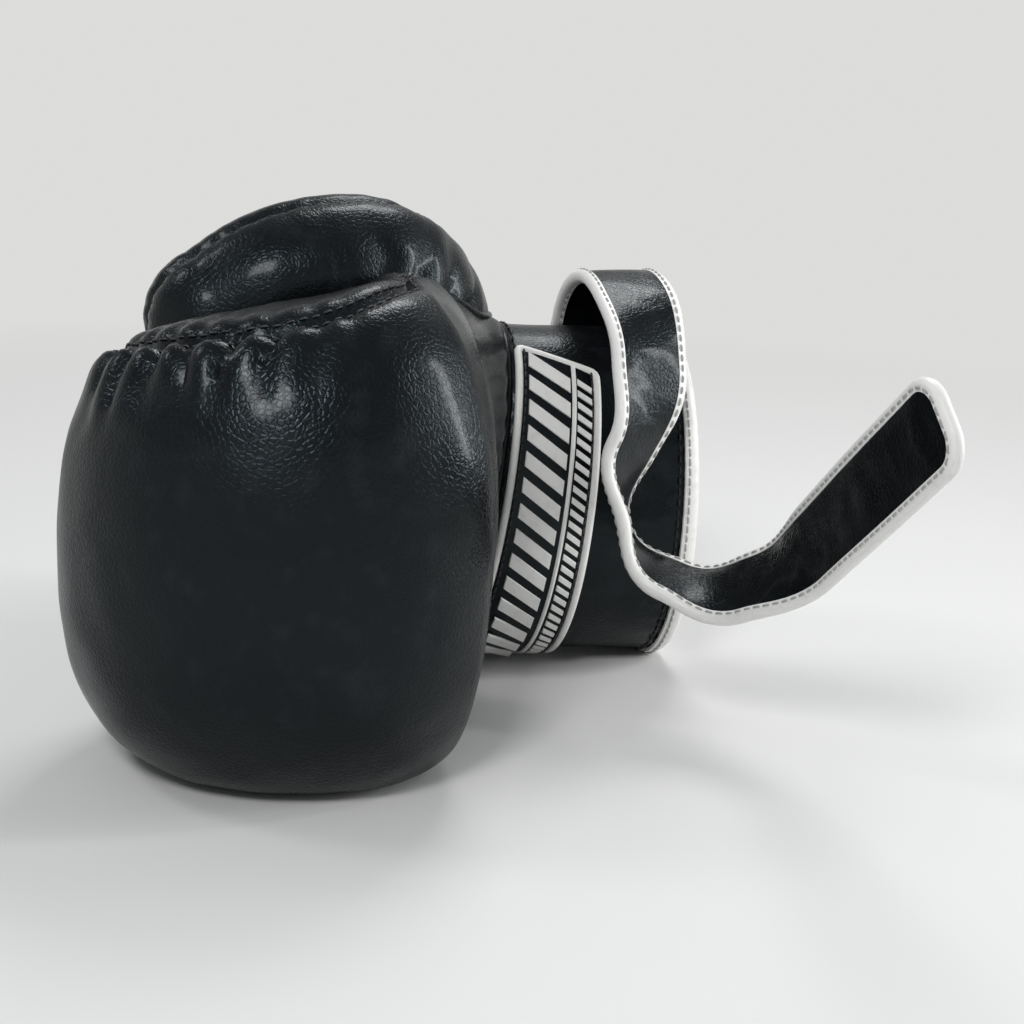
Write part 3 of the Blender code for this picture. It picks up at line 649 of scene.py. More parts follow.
def unit_piece(name, rings, faces):
    """A unit to set along paths, from rings of points in millimetres round its own origin."""
    mesh = bpy.data.meshes.new(name)
    mesh.from_pydata([tuple(c * METRES for c in p) for ring in rings for p in ring], [], faces)
    return put(name, mesh)


def stitch_unit(length, radius, sides=6):
    """One stitch, lying along X with its ends dipping into the holes."""
    rings = []
    for share in (-1, -0.8, -0.35, 0.35, 0.8, 1):
        lift = radius * (0.55 - 1.5 * share**4)
        fat = radius * (1 - 0.55 * share**6)
        rings.append([
            (share * length / 2, math.cos(a) * fat * 1.15, lift + math.sin(a) * fat)
            for a in (math.tau * k / sides for k in range(sides))
        ])
    total = len(rings) * sides
    faces = grid_faces(len(rings), sides, wrap=True, flip=True)
    faces += [list(range(sides)), list(range(total - sides, total))[::-1]]
    unit = unit_piece("stitch_unit", rings, faces)
    unit.data.shade_smooth()
    return unit


STITCH = stitch_unit(2.7, 0.34)
STITCH_PITCH = 3.6
FINE_PITCH = 3.2
TAPE_PITCH = 3.4
SEAM_TO_STITCH = 3.4


# ---- Putting pieces with the solids
def settle(piece, nodes=(), fill=None, body=GLOVE, blend=None, slot=None):
    """Hangs a finished piece on its body, or bakes it in place where a blend is given, and hides
    its nodes.
    """
    if blend:
        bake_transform(piece)
    else:
        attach(piece, body)
    if nodes:
        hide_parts(*nodes)


FULL = 0.9  # how full of padding the mitt and the thumb are


def skin(name, surface, thickness, material, node, fill=None, keep=None):
    """A shell over a surface that stands for one solid."""
    settle(paint(shell(name, surface, thickness, keep), material), [node], fill=fill)


# ---- Mitt
MITT_PLACES = steps(0, 1, 46) + steps(1, 2, 104)[1:] + steps(2, 3, 14)[1:]


def mitt_top_seam(place):
    """Degrees round the section of the seam along the top: it comes forward over the knuckles."""
    return 90 - 24 * smooth(0.85, 1.3, place)


def mitt_surface(first, last, count):
    """The mitt's surface between two seams that are given by functions of the place."""
    rings = [mitt_ring(place, steps(first(place), last(place), count)) for place in MITT_PLACES]
    return Surface(rings, (0, -35, 65))


def bell(distance, width):
    """1 at nothing, falling away smoothly over about this width."""
    return np.exp(-((distance / width) ** 2))


def ramp(value, start, length):
    """0 up to the start, 1 from the start plus the length."""
    return np.clip((value - start) / length, 0, 1)


def folds(run, pitch, level=0.6, power=1.0):
    """Rounded ridges with sharp valleys between them, at a pitch, sunk by the level."""
    return np.abs(np.sin(math.pi * run / pitch)) ** power - level


def seam_dip(distance, depth=2.2, width=2.6):
    """The leather rolls down into a seam, and stands a little proud beside it."""
    return 0.7 * bell(distance - 7, 5) - depth * bell(distance, width)


KNUCKLE_ROUND = 24.0  # how far to each side of the knuckle line the skin is rounded
BACK_PER_PLACE = 90.0  # length of skin along the back of the hand, and round the curl
CURL_PER_PLACE = 280.0
GATHER_PITCH = 10.5
TUCK_PITCH = 7.5
PUCKER_PITCH = 8.5


def mitt_relief(surface, top_first, gather_height):
    """Heights of the padded skin: fullness, seams, gathers along the top seam and wrist puckers."""
    from_top = surface.from_edge(last=not top_first)
    from_low = surface.from_edge(last=top_first)
    places = np.array(MITT_PLACES)[:, None]
    to_wrist = places * HAND_LENGTH
    edge = surface.points[:, 0 if top_first else -1]
    run = np.concatenate([[0], np.cumsum(np.linalg.norm(np.diff(edge, axis=0), axis=1))])[:, None]
    heights = 0.8 + seam_dip(from_top) + seam_dip(from_low)
    from_turn = np.where(places < 1, (1 - places) * BACK_PER_PLACE, (places - 1) * CURL_PER_PLACE)
    near = np.minimum(from_turn, KNUCKLE_ROUND)
    fading = (1 - ramp(from_turn, 30, 45)) ** 1.5
    rounded = 0.2 * (near - near**2 / (2 * KNUCKLE_ROUND)) * fading
    heights += rounded * (bell(from_top, 18) if top_first else 1 - bell(from_low, 30))
    heights += 0.75 * surface.noise(34, 1) + 0.3 * surface.noise(13, 2)
    wavering = run + 3.2 * surface.noise(16, 3) + 2.0 * surface.noise(38, 4)
    gathers = gather_height * folds(wavering, GATHER_PITCH, 0.32, 0.7)
    gathers *= ramp(places, 1.1, 0.16) * (1 - ramp(places, 1.7, 0.35))
    gathers *= bell(from_top, 17 + 8 * surface.noise(22, 5))
    heights += gathers * np.clip(from_top / 2.5, 0.25, 1)
    tucks = folds(wavering, TUCK_PITCH)
    heights += 0.55 * tucks * (1 - ramp(places, 0.95, 0.2)) * bell(from_top, 7)
    heights += 0.5 * tucks * ramp(places, 0.2, 0.3) * bell(from_low, 6)
    puckers = folds(surface.from_edge() + 4 * surface.noise(20, 6), PUCKER_PITCH)
    heights += 0.9 * puckers * bell(to_wrist, 9) + seam_dip(to_wrist, depth=1.5, width=3.0)
    return heights * np.clip(surface.points[:, :, 2] / 6 + 0.15, 0, 1)


def make_mitt():
    back = mitt_surface(lambda place: LOW_SEAM, mitt_top_seam, 116)
    palm = mitt_surface(mitt_top_seam, lambda place: LOW_SEAM + 360, 92)
    back.raise_by(mitt_relief(back, False, 4.6), floor=0)
    palm.raise_by(mitt_relief(palm, True, 1.8), floor=0)
    for name, surface in (("back", back), ("palm", palm)):
        skin(f"{name}_skin", surface, LEATHER, LEATHER_SKIN, f"{name}_leather", FULL)
    return back, palm


class Body:
    """The whole mitt, to tell how far a point stands outside it."""

    def __init__(self, back, palm):
        points = np.concatenate([back.points, palm.points[:, 1:-1]], axis=1)
        faces = grid_faces(len(points), points.shape[1], wrap=True)
        self.tree = BVHTree.FromPolygons(points.reshape(-1, 3).tolist(), faces)
        self.side = 1.0
        self.side = math.copysign(1.0, self.above((0, -300, 65)))

    def above(self, point):
        """How far a point stands outside the mitt, below zero inside it."""
        near, normal, _, _ = self.tree.find_nearest(Vector(point))
        return (Vector(point) - near).dot(normal) * self.side


# ---- Thumb
THUMB_PLACES = steps(0, 1, 76) + steps(1, 2, 22)[1:]
THUMB_LENGTH = 105.0
CREASE_PITCH = 9.0
THUMB_TUCK_PITCH = 6.2


def thumb_relief(surface, angles):
    """Fullness, two seams, and creases across the near side where the thumb bends."""
    from_first, from_last = surface.from_edge(), surface.from_edge(last=True)
    places = np.array(THUMB_PLACES)[:, None]
    spin = np.array(angles)[None, :]
    heights = 0.5 + seam_dip(from_first, 1.6, 2.0) + seam_dip(from_last, 1.6, 2.0)
    heights += 0.5 * surface.noise(24, 11)
    run = places * THUMB_LENGTH + 5 * surface.noise(18, 12) + 0.06 * spin
    inner_bend = np.clip(bell(spin - 8, 44) + bell(spin - 190, 60), 0, 1)
    heights += 2.1 * folds(run, CREASE_PITCH, 0.66, 0.7) * bell(places - 0.42, 0.26) * inner_bend
    beside = bell(from_first, 6) + bell(from_last, 6)
    return heights + 0.6 * folds(run, THUMB_TUCK_PITCH) * beside * ramp(places, 0, 0.4)


SUNK = -1.8  # a cell whose corners are all deeper in the mitt than this is left out


def thumb_panel(side, first, last, count, mitt):
    angles = steps(first, last, count)
    surface = Surface([thumb_ring(place, angles) for place in THUMB_PLACES], (28, 18, 128))
    quarters = (thumb_ring(place, (0, 90, 180, 270)) for place in THUMB_PLACES)
    centres = np.array([[tuple(sum(ring, Vector()) / 4)] for ring in quarters])
    if ((surface.points - centres) * surface.normals).sum() < 0:
        surface.side *= -1
        surface.normals = -surface.normals
    surface.raise_by(thumb_relief(surface, angles))
    heights = np.array([[mitt.above(p) for p in row] for row in surface.points])
    highest = np.maximum(heights[1:], heights[:-1])
    keep = np.maximum(highest[:, 1:], highest[:, :-1]) > SUNK
    name = f"thumb_{side}"
    skin(f"{name}_skin", surface, LEATHER, LEATHER_SKIN, f"{name}_leather", FULL, keep)
    return surface


def make_thumb(mitt):
    outer = thumb_panel("outer", THUMB_LOW_SEAM, THUMB_TOP_SEAM, 54, mitt)
    thumb_panel("inner", THUMB_TOP_SEAM, THUMB_LOW_SEAM + 360, 84, mitt)
    return outer


def join_line(mitt):
    """The line where the thumb is sewn to the mitt: up one side, round under the tip and back."""
    near_side, far_side = [], []
    angles = steps(-180, 180, 120)
    for place in steps(0.12, 1.0, 60):
        ring = thumb_ring(place, angles)
        heights = [mitt.above(p) for p in ring]
        found = []
        for k in range(len(ring) - 1):
            if heights[k] * heights[k + 1] < 0:
                share = heights[k] / (heights[k] - heights[k + 1])
                found.append((angles[k] + 3 * share, ring[k].lerp(ring[k + 1], share)))
        near = [p for a, p in found if -100 < a < 45]
        far = [p for a, p in found if a < -100 or a > 135]
        if near and far:
            near_side.append(near[-1])
            far_side.append(far[0] if len(far) == 1 else max(far, key=lambda p: p.y))
    return eased(near_side + far_side[::-1], 3)


def sew(
    name, lines, pitch=STITCH_PITCH, material=DARK_THREAD, slot="back_leather", seed=1, unit=STITCH
):
    """A piece of stitching on the glove's body, along lines of (points, ups)."""
    settle(repeated(name, lines, unit, pitch, material, seed=seed), slot=slot)


def make_mitt_seams(back, palm, outer, mitt):
    """Stitching beside the seams, the welt at the wrist and the welt round the thumb."""
    sewn = slice(2, len(MITT_PLACES) - 10)
    lines = [
        surface.beside(SEAM_TO_STITCH, 0.1, last=last)
        for surface, last in ((back, True), (palm, False), (back, False), (palm, True))
    ]
    sew("mitt_stitching", [(points[sewn], ups[sewn]) for points, ups in lines])
    welt = [cuff_point(0, 0.55, a) for a in steps(-180, 180, 160)[:-1]]
    ups = [p - Vector((p.x, CUFF_Y, CUFF_Z)) for p in welt]
    settle(paint(loop_tube("wrist_welt", welt, ups, 1.25), LEATHER_SKIN), slot="cuff_leather")
    path = join_line(mitt)
    welt = paint(tube("thumb_welt", path, [(0, 0, 1)] * len(path), 1.3), LEATHER_SKIN)
    settle(welt, slot="thumb_outer_leather")
    end = len(THUMB_PLACES) - 3
    lines = [
        outer.beside(SEAM_TO_STITCH, -0.08, last=True, rows=range(20, end)),
        outer.beside(3.0, -0.05, rows=range(48, end)),
    ]
    fine = stitch_unit(2.4, 0.2)
    sew("thumb_stitching", lines, FINE_PITCH, slot="thumb_outer_leather", seed=2, unit=fine)
    bpy.data.objects.remove(fine)


# ---- Cuff
CUFF_EDGE = 180 - HALF_SLIT
TAPE_PAST = 2.6  # degrees that the rim tape runs on past the edge of the slit
TAPE_SOLID = 1.9  # degrees past the edge from which its end is solid
TAPE_ROUND = 0.6
SLIT_TURN = ((0.7, 0.5), (1.2, 1.6), (1.35, 3.2), (1.35, 5.0))  # degrees past the edge, depth


def turned_ring(along, inset, inward):
    """A section of the cuff whose ends turn into the slit."""
    ends = [(CUFF_EDGE + turn, inset + inward * depth) for turn, depth in SLIT_TURN]
    path = [(-angle, depth) for angle, depth in reversed(ends)]
    path += [(angle, inset) for angle in steps(-CUFF_EDGE, CUFF_EDGE, 210)] + ends
    return [cuff_point(along, depth, angle) for angle, depth in path]


def make_cuff():
    alongs = steps(0.2, CUFF_LENGTH - 1.6, 58)
    surface = Surface([turned_ring(along, 0, 1) for along in alongs], CUFF_CORE)
    from_wrist = np.array(alongs)[:, None]
    from_rim = TAPE_EDGE - from_wrist
    puckers = folds(surface.from_edge()[:1] + 3 * surface.noise(18, 21), 8.0, 0.75)
    heights = 0.7 * puckers * (bell(from_wrist, 3) + bell(from_rim, 4))
    heights += 0.22 * surface.noise(14, 22) - 0.2 - 1.1 * bell(from_wrist, 1.6)
    surface.raise_by(np.minimum(heights, 0.1))
    skin("cuff_skin", surface, 0.9, LEATHER_SKIN, "cuff_leather", 0.8)
    inside = Surface([turned_ring(along, CUFF_WALL, -0.7) for along in alongs], CUFF_CORE)
    free = 1 - ramp(from_wrist, CUFF_LENGTH - 14, 6)  # it lies flat under the rim tape
    inside.raise_by((-0.5 - 0.5 * inside.noise(20, 23) - 0.3 * inside.noise(8, 24)) * free)
    skin("cuff_inside_cloth", inside, -0.8, LINING_WEAVE, "cuff_lining", 0.3)
    angles = steps(CUFF_EDGE + 0.4, 180 + HALF_SLIT - 0.4, 30)
    depths = [6.4 + 1.4 * math.cos(math.tau * 2 * k / 30) for k in range(31)]
    rings = [
        [cuff_point(along, depth, a) for a, depth in zip(angles, depths)]
        for along in steps(0.3, TAPE_EDGE - 0.4, 40)
    ]
    skin("slit_elastic", Surface(rings, CUFF_CORE), 1.0, GUSSET_RIBS, "slit_gusset")
    make_rim_binding()
    lines = [
        [cuff_point(along, -0.15, a) for a in steps(-CUFF_EDGE + 2, CUFF_EDGE - 2, 150)]
        for along in (3.0, TAPE_EDGE - 1.6)
    ]
    lines += [
        [cuff_point(along, -0.1, a) for along in steps(3, CUFF_LENGTH - 8, 40)]
        for a in (CUFF_EDGE - 4, -CUFF_EDGE + 4)
    ]
    sew("cuff_stitching", [(line, cuff_ups(line)) for line in lines], slot="cuff_leather", seed=3)


def cuff_ups(points):
    """Directions straight off the cuff at points over it."""
    ups = []
    for p in points:
        out = p - Vector((HAND_LENGTH, CUFF_Y, CUFF_Z))
        out -= CUFF_AXIS * out.dot(CUFF_AXIS)
        side, rise = out.dot(CUFF_SIDE) / CUFF_HALF_DEPTH**2, out.z / CUFF_HALF_HEIGHT**2
        ups.append((CUFF_SIDE * side + Vector((0, 0, rise))).normalized())
    return ups


def make_rim_binding():
    """Tape folded over the rim, rounded where it turns, with its row of stitches."""
    middle = CUFF_WALL / 2
    outer_half = 17  # points of the profile's outer line; the inner line follows it back
    profile = []
    for reach, half, onward in ((6.0, middle + 1.3, 1), (4.9, middle + 0.2, -1)):
        for degrees in steps(0, 180, outer_half - 1)[::onward]:
            a = math.radians(degrees)
            fold = math.copysign(abs(math.cos(a)) ** TAPE_ROUND, math.cos(a))
            rise = reach * abs(math.sin(a)) ** TAPE_ROUND
            profile.append((TAPE_EDGE + rise, middle - half * fold))
    rings = []
    for k, angle in enumerate(steps(-CUFF_EDGE - TAPE_PAST, CUFF_EDGE + TAPE_PAST, 194)):
        swell = 0.18 * math.sin(k * 1.9) * math.sin(k * 0.31)
        solid = abs(angle) > CUFF_EDGE + TAPE_SOLID
        ring = []
        for n, (along, inset) in enumerate(profile):
            along = TAPE_EDGE + 0.1 if solid and n >= outer_half else along
            ring.append(cuff_point(along, inset - swell, angle))
        rings.append(ring)
    settle(paint(loft("rim_tape", rings), WHITE_TAPE), ["rim_binding"])
    row = [cuff_point(TAPE_EDGE + 1.3, -1.6, a) for a in steps(-CUFF_EDGE + 1, CUFF_EDGE - 1, 160)]
    sew("rim_stitching", [(row, cuff_ups(row))], FINE_PITCH, PALE_THREAD, "rim_binding", 4)


# ---- Wrist panel
PANEL_LOW, PANEL_HIGH = 0.012, 0.988  # shares of the panel's way round, at its piping
DIVIDER = 21.2  # across the panel
BAR_SLANT = 0.62


def panel_line(across, first=PANEL_LOW, last=PANEL_HIGH, height=1.75):
    points = [panel_point(across, r, height) for r in steps(first, last, 90)]
    return points, cuff_ups(points)


def bar_unit(name, half_width, half_length, thick):
    """A slanted bar that lies across the path, with softened edges."""
    rings = []
    for inset, z in ((0.0, -0.35), (0.0, thick - 0.15), (0.18, thick)):
        ring = []
        for x, y in ((-1, -1), (1, -1), (1, 1), (-1, 1)):
            run = y * (half_length - inset)
            ring.append((x * (half_width - inset) + BAR_SLANT * run, run, z))
        rings.append(ring)
    return unit_piece(name, rings, grid_faces(3, 4, wrap=True) + [[3, 2, 1, 0], [8, 9, 10, 11]])


def make_wrist_panel():
    rows = steps(0.018, 0.982, 130)
    rings = [[panel_point(a, r, 1.3) for a in steps(1.6, PANEL_WIDTH - 1.6, 26)] for r in rows]
    surface = Surface(rings, (100, 10, 60))
    edge = np.minimum(surface.from_edge(), surface.from_edge(last=True))
    surface.raise_by(0.35 * (1 - bell(edge, 4)) + 0.12 * surface.noise(12, 31))
    skin("wrist_panel_skin", surface, 1.0, LEATHER_SKIN, "wrist_panel")
    near, far = 1.1, PANEL_WIDTH - 1.1
    corners = ((near, PANEL_LOW), (near, PANEL_HIGH), (far, PANEL_HIGH), (far, PANEL_LOW))
    line = []
    for (a0, r0), (a1, r1), count in zip(corners, corners[1:] + corners[:1], (80, 20, 80, 20)):
        line += list(zip(steps(a0, a1, count), steps(r0, r1, count)))[:-1]
    points = eased([panel_point(a, r, 0.95) for a, r in line], 2, closed=True)
    piping = loop_tube("panel_piping", points, cuff_ups(points), 1.35, 12, 0.9)
    settle(paint(piping, WHITE_TAPE), ["wrist_panel_piping"])
    divider = tube("panel_divider", *panel_line(DIVIDER), 0.75, 8, 0.7)
    settle(paint(divider, WHITE_TAPE), slot="wrist_panel_piping")
    lines = [panel_line(across, 0.03, 0.97) for across in (3.1, PANEL_WIDTH - 3.1)]
    sew("panel_stitching", lines, pitch=3.0, slot="wrist_panel", seed=5)
    for name, size, across, pitch in (
        ("wide_bar", (2.5, 6.9, 0.45), 12.1, 8.3), ("slim_bar", (1.05, 2.4, 0.4), 25.0, 3.9),
    ):
        unit = bar_unit(name, *size)
        lines = [panel_line(across, 0.075, 0.925)]
        bars = repeated(f"panel_{name}s", lines, unit, pitch, WHITE_BARS, spread=0)
        settle(bars, slot="wrist_panel_piping")
        bpy.data.objects.remove(unit)


# ---- Strap
HALF_BAND = 1.5
ROOT_GAP = 0.45


def root_height(angle):
    middle = (ROOT_TO_ANGLE + ROOT_FROM_ANGLE) / 2
    return GAP + curve(((ROOT_TO_ANGLE, ROOT_RISE), (middle, 0)), angle)


def chain():
    """The corner points of the strap's chain and the frame of each stretch. A frame's X runs along
    the strap, Y across it towards the rim, and Z off its outer face."""
    height = root_height(ROOT_TO_ANGLE) + HALF_BAND
    end = on_cuff(ROOT_TO_ANGLE, STRAP_HALF, height)
    spot = end + (end - on_cuff(ROOT_TO_ANGLE + 1, STRAP_HALF, height)).normalized() * ROOT_GAP
    slope = math.radians(STRAP_SLOPE)
    along = Vector((0, 0, math.sin(slope))) - CUFF_SIDE * math.cos(slope)
    axes = Matrix((along, CUFF_AXIS, along.cross(CUFF_AXIS))).transposed()
    corners, frames = [spot], []
    for length, bend, twist in STRAP_CHAIN:
        half_twist = Matrix.Rotation(math.radians(twist / 2), 3, "X")
        axes = axes @ half_twist @ Matrix.Rotation(math.radians(bend), 3, "Y") @ half_twist
        frames.append(axes.copy())
        spot = spot + axes.col[0] * length
        corners.append(spot)
    return corners, frames


class Station:
    """A place along the strap: its middle, its ways onward, rimward and outward, and its run."""

    def __init__(self, spot, onward, rimward):
        self.spot = Vector(spot)
        self.onward = onward.normalized()
        self.rimward = (rimward - self.onward * rimward.dot(self.onward)).normalized()
        self.outward = self.onward.cross(self.rimward)
        self.run = 0.0

    def at(self, across, height):
        return self.spot + self.rimward * across + self.outward * height


def strap_stations():
    """Stations of each group of the strap, from the sewn root to the tip, and the middles."""
    corners, frames = chain()
    middles = [(a + b) / 2 for a, b in zip(corners, corners[1:])]
    root = []
    for angle in steps(ROOT_FROM_ANGLE + 1.5, ROOT_TO_ANGLE, 26):
        here, ahead = (
            on_cuff(a, STRAP_HALF, root_height(a) + HALF_BAND) for a in (angle, angle - 0.5)
        )
        root.append(Station(here, ahead - here, CUFF_AXIS))
    end = root[-1]
    lead = end.spot + end.onward * (middles[0] - end.spot).length * 0.45
    root += bezier(end.spot, lead, middles[0], CUFF_AXIS, frames[0].col[1], 12)[1:]
    sides = [axes.col[1] for axes in frames]
    bends = [
        bezier(middles[k], corners[k + 1], middles[k + 1], sides[k], sides[k + 1], 20)
        for k in range(len(middles) - 1)
    ]
    tip = [
        Station(middles[-1].lerp(corners[-1], share), frames[-1].col[0], frames[-1].col[1])
        for share in steps(0, 1, 30)
    ]
    groups = [root, bends[0] + bends[1][1:], *bends[2:-1], bends[-1] + tip[1:]]
    run, last = 0.0, root[0].spot
    for group in groups:
        for station in group:
            run += (station.spot - last).length
            station.run, last = run, station.spot
    return groups, middles


def bezier(start, control, end, side_start, side_end, count):
    stations = []
    for t in steps(0, 1, count):
        spot = start * (1 - t) ** 2 + control * 2 * t * (1 - t) + end * t * t
        onward = (control - start) * (1 - t) + (end - control) * t
        share = t * t * (3 - 2 * t)
        stations.append(Station(spot, onward, Vector(side_start).lerp(Vector(side_end), share)))
    return stations


BAND_INSET = 1.0
FAR = 99.0  # a distance before the tip that is out of its reach
BAND_COLUMNS = steps(-1, 1, 22)
TIP_ROUND = 10.0
CHANNEL_OUT = ((0, 0), (0.45, 1.35), (1.6, 2.15), (3.6, 2.0))  # reach inwards, height
CHANNEL_IN = ((3.6, 1.45), (1.1, 1.45))
CHANNEL_BACK = [(q, -h) for q, h in CHANNEL_OUT[1:] + CHANNEL_IN]
CHANNEL = [*CHANNEL_OUT[::-1], *CHANNEL_BACK, *CHANNEL_IN[::-1]]


def band_height(run, share, side, before_tip):
    """Half the band's thickness: crowned between its bindings, with soft creases across it."""
    free = smooth(1.5, 8, before_tip)
    crown = 1.4 + 0.6 * (1 - share**4) * free
    crease = noise.noise(Vector((run / 7, share * 0.8, side * 3.1))) * 0.42
    fine = noise.noise(Vector((run / 2.6, share * 2.0, side * 7.7))) * 0.13
    return crown + (crease + fine) * (1 - share**2) * free


def half_width(before_tip, inset):
    """Half the strap's width at a distance before its tip."""
    if before_tip >= TIP_ROUND:
        return STRAP_HALF - inset
    lift = max((TIP_ROUND - inset) ** 2 - (TIP_ROUND - before_tip) ** 2, 0)
    return STRAP_HALF - TIP_ROUND + math.sqrt(lift)


def flat_map(piece, places):
    """Stores each point's place on the flat strap as the piece's own map, in metres."""
    layer = piece.data.uv_layers.new(name="flat")
    flat = np.array(places)[[loop.vertex_index for loop in piece.data.loops]] * METRES
    layer.data.foreach_set("uv", flat.ravel())
    return piece


def strap_band(name, stations, tip_run=None):
    rings, places = [], []
    for station in stations:
        left = FAR if tip_run is None else tip_run - station.run
        half = half_width(left, BAND_INSET)
        if half <= 0.5 or left < BAND_INSET:
            continue
        ring = []
        for side, shares, start in ((1, BAND_COLUMNS, 60), (-1, BAND_COLUMNS[::-1], 100)):
            for share in shares:
                height = side * band_height(station.run, share, side, left)
                ring.append(station.at(share * half, height))
                places.append((station.run, start + share * half))
        rings.append(ring)
    return paint(flat_map(loft(name, rings, 50), places), LEATHER_STRAP)


def strap_edge(name, path):
    """Tape folded over an edge, along a path of edge points, ways in and out, and runs."""
    rings = [
        [edge + inward * reach + outward * height for reach, height in CHANNEL]
        for edge, inward, outward, _ in path
    ]
    places = [(run, 150 + 3 * k) for *_, run in path for k in range(len(CHANNEL))]
    return paint(flat_map(loft(name, rings, 55), places), WHITE_STRAP_TAPE)


def side_path(stations, side):
    return [(s.at(side * STRAP_HALF, 0), -s.rimward * side, s.outward, s.run) for s in stations]


def tip_path(stations, tip_run):
    """Down the wrist side, round the tip and back along the rim side."""
    straight = [s for s in stations if s.run < tip_run - TIP_ROUND]
    last = stations[-1]
    halves = []
    for side in (-1, 1):
        arc = []
        for degrees in steps(0, 90, 12):
            a = math.radians(degrees)
            spot = last.spot - last.onward * TIP_ROUND * (1 - math.sin(a))
            spot += last.rimward * side * (STRAP_HALF - TIP_ROUND * (1 - math.cos(a)))
            inward = -last.onward * math.sin(a) - last.rimward * side * math.cos(a)
            arc.append((spot, inward, last.outward, tip_run + TIP_ROUND * math.sin(a)))
        halves.append(side_path(straight, side) + arc)
    return halves[0] + halves[1][::-1]


def edge_stitches(paths):
    """Lines of stitches on both faces of the folded tape."""
    return [
        ([e + i * 2.5 + o * 2.12 * face for e, i, o, _ in path], [o * face for _, _, o, _ in path])
        for path in paths for face in (1, -1)
    ]


def make_strap():
    groups, middles = strap_stations()
    tip_run = groups[-1][-1].run
    before = GLOVE
    for number, stations in zip((0, 1, 4, 5, 6, 7, 8, 9, TIP), groups):
        body = f"strap_stretch_{number}"
        if number == 0:
            held = {"blend": (GLOVE, "strap_stretch_1", stations[22].spot, middles[0])}
        elif number == 1:
            held = {"body": body}
        else:
            held = {"blend": (before, body, middles[number - 2], middles[number - 1])}
        own = (1, 2, 3) if number == 1 else (number,)
        band = strap_band(f"strap_band_{number}", stations, tip_run if number == TIP else None)
        settle(band, [f"strap_{n}" for n in own] if number else ["strap_root"], **held)
        if number == TIP:
            paths = [tip_path(stations, tip_run)]
            settle(strap_edge("strap_edge_tip", paths[0]), ["strap_binding_tip"], **held)
        else:
            paths = [side_path(stations, side) for side in (-1, 1)]
            for label, path in zip(("wrist", "rim"), paths):
                nodes = [f"strap_binding_{label}_{n}" for n in own] if number else []
                edge = strap_edge(f"strap_edge_{label}_{number}", path)
                settle(edge, nodes, slot=f"strap_binding_{label}_{own[0] or 1}", **held)
        name, lines = f"strap_stitching_{number}", edge_stitches(paths)
        stitches = repeated(name, lines, STITCH, TAPE_PITCH, PALE_THREAD, seed=number)
        settle(stitches, slot="strap_1", **held)
        if number:
            before = body
    make_patches(groups, tip_run)


def make_patches(groups, tip_run):
    """The loop patch on the sewn root, its stitching, and the hook patch inside the tip."""
    half = STRAP_HALF - 5
    rings = [[station.at(s * half, 1.9) for s in steps(-1, 1, 14)] for station in groups[0][3:22]]
    surface = Surface(rings, CUFF_CORE)
    edge = np.minimum(surface.from_edge(), surface.from_edge(last=True))
    surface.raise_by(1.15 - 0.5 * bell(edge, 1.4) + 0.2 * surface.noise(3, 41))
    skin("loop_patch_pile", surface, 1.2, LOOP_PILE, "loop_patch")
    root = groups[0][3:21]
    lines = [
        ([s.at(across, 2.1) for s in root], [s.outward for s in root])
        for across in (-half - 1.2, half + 1.2)
    ]
    sew("root_stitching", lines, FINE_PITCH, slot="strap_root", seed=6)
    base = [s for s in groups[-1] if 6.0 < tip_run - s.run < 36.5]
    rings = []
    for station in base:
        wide = min(half, half_width(tip_run - station.run - 6.0, 4.6))
        top = [station.at(s * wide, -1.3) for s in steps(-1, 1, 8)]
        low = [station.at(s * wide, -3.0 - 0.25 * (1 - s**4)) for s in steps(1, -1, 8)]
        rings.append(top + low)
    held = {"body": f"strap_stretch_{TIP}"}
    settle(paint(loft("hook_patch_pad", rings), HOOK_PILE), ["hook_patch"], **held)
    hook = stitch_unit(0.9, 0.22)
    inner = base[1:-1]
    lines = [
        ([s.at(across, -3.3) for s in inner], [-s.outward for s in inner])
        for across in steps(-half + 1.5, half - 1.5, 11)
    ]
    hooks = repeated("hook_patch_hooks", lines, hook, 1.4, HOOK_PILE, spread=0.2, seed=7)
    settle(hooks, slot="hook_patch", **held)
    bpy.data.objects.remove(hook)


# ---- Stage, lights and camera
# Everything of the stage is in metres and degrees.
FLOOR_REACH = 2.2
RIM_RISE = 1.5
PALE = (0.72, 0.72, 0.71)
GLOW_FROM, GLOW_TO = 0.22, 0.8  # distances over which the floor turns into a plain backdrop
VIEW_TURN = (-41.523, 15.063, 1.767)  # azimuth, elevation and roll
VIEW_AIM = Vector((0.080, 0.029, 0.060))
VIEW_DISTANCE = 0.61251
VIEW_LENS = 65.3
VIEW_SHIFT = (0.045, -0.006)


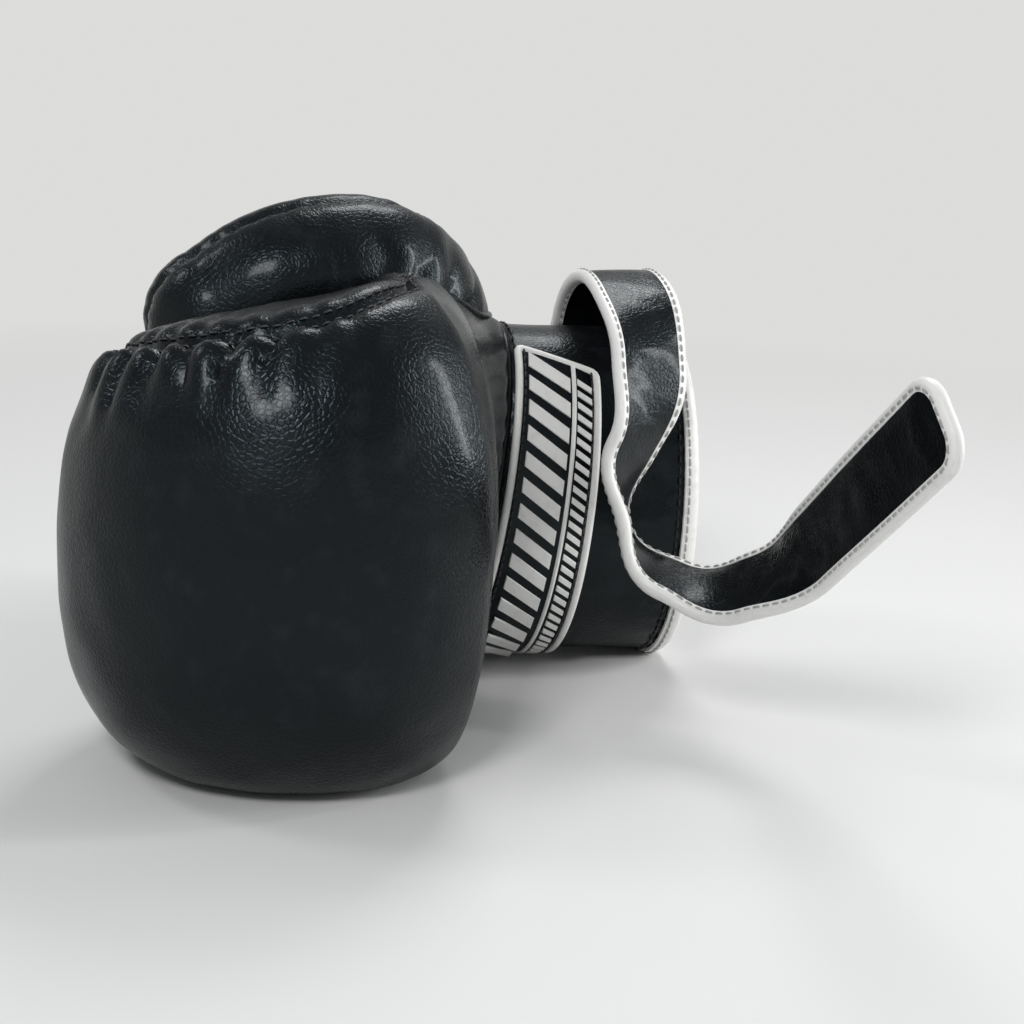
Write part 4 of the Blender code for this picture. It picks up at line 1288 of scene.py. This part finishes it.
def plain_stage():
    """A round pale floor that rises all round, far out of reach, so that no edge of it shows."""
    profile = [(r, 0.0) for r in (0.0001, 0.3, 0.8, 1.5, FLOOR_REACH)]
    profile += [
        (FLOOR_REACH + RIM_RISE * math.sin(a), RIM_RISE * (1 - math.cos(a)))
        for a in (math.radians(d) for d in steps(7.5, 90, 11))
    ]
    count = 72
    turns = [math.tau * k / count for k in range(count)]
    points = [(r * math.cos(t), r * math.sin(t), z) for r, z in profile for t in turns]
    mesh = bpy.data.meshes.new("floor")
    mesh.from_pydata(points, [], [list(range(count))] + grid_faces(len(profile), count, wrap=True))
    mesh.shade_smooth()
    coat = Finish("pale_floor", PALE, 0.8, Specular_IOR_Level=0.2)
    coat.tint(coat.noise(3, 2), PALE, tuple(c * 0.985 for c in PALE))
    rays = coat.node("ShaderNodeLightPath").outputs
    seen = coat.maths("MAXIMUM", rays["Is Camera Ray"], rays["Is Glossy Ray"])
    seen = coat.maths("MAXIMUM", seen, rays["Is Transmission Ray"])
    away = coat.node("ShaderNodeVectorMath", {0: coat.place}, operation="LENGTH").outputs["Value"]
    glow = coat.node("ShaderNodeEmission", {"Color": (*PALE, 1), "Strength": 1.0}).outputs[0]
    share = coat.maths("MULTIPLY", seen, coat.spread(away, GLOW_FROM, GLOW_TO))
    mixed = coat.node("ShaderNodeMixShader", {0: share, 1: coat.shader.outputs[0], 2: glow})
    coat.links.new(mixed.outputs[0], coat.nodes["Material Output"].inputs["Surface"])
    floor = paint(put("floor", mesh), coat.material)
    world = bpy.data.worlds.new("pale_room")
    world.use_nodes = True
    shade = world.node_tree.nodes["Background"]
    shade.inputs["Color"].default_value = (0.92, 0.95, 1.0, 1)
    shade.inputs["Strength"].default_value = 0.35
    bpy.context.scene.world = world


def lamp(name, spot, aim, size, power):
    light = bpy.data.lights.new(name, "AREA")
    light.shape = "RECTANGLE"
    light.size, light.size_y = size
    light.energy = power
    holder = put(name, light)
    holder.location = spot
    holder.visible_camera = False
    holder.rotation_euler = (Vector(aim) - Vector(spot)).to_track_quat("-Z", "Y").to_euler()


def view_camera():
    azimuth, elevation, roll = (math.radians(degrees) for degrees in VIEW_TURN)
    level = Vector((math.cos(azimuth), math.sin(azimuth), 0))
    flat = math.cos(elevation)
    back = Vector((math.sin(azimuth) * flat, -math.cos(azimuth) * flat, math.sin(elevation)))
    upright = back.cross(level)
    right = level * math.cos(roll) + upright * math.sin(roll)
    up = upright * math.cos(roll) - level * math.sin(roll)
    turn = Matrix((right, up, back)).transposed().to_4x4()
    lens = bpy.data.cameras.new("view")
    lens.sensor_width = 36
    lens.lens = VIEW_LENS
    lens.shift_x, lens.shift_y = VIEW_SHIFT
    camera = put("view", lens)
    camera.matrix_world = Matrix.Translation(VIEW_AIM + back * VIEW_DISTANCE) @ turn
    bpy.context.scene.camera = camera


# ---- Build
back_surface, palm_surface = make_mitt()
mitt_body = Body(back_surface, palm_surface)
outer_thumb = make_thumb(mitt_body)
make_mitt_seams(back_surface, palm_surface, outer_thumb, mitt_body)
make_cuff()
make_wrist_panel()
make_strap()
bpy.data.objects.remove(STITCH)
LININGS = ("hand_lining", "thumb_lining")
FOAMS = ("back_foam", "palm_foam", "knuckle_foam", "grip_bar", "thumb_foam", "cuff_foam")
for node in LININGS + FOAMS:
    for material_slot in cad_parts[node].material_slots:
        material_slot.material = LINING_WEAVE if node in LININGS else FOAM_PORES
plain_stage()
lamp("key", (-0.72, -0.5, 0.9), (0.05, 0.02, 0.06), (0.28, 0.28), 6.0)
lamp("side_strip", (0.78, -0.62, 0.42), (0.0, -0.04, 0.09), (0.1, 0.8), 7.2)
lamp("top", (0.5, 0.3, 0.85), (0.0, 0.0, 0.12), (0.34, 0.34), 3.4)
lamp("gather_light", (-0.45, 0.5, 0.8), (-0.03, 0.0, 0.11), (0.2, 0.2), 1.5)
view_camera()
bpy.context.scene.view_settings.view_transform = "Standard"
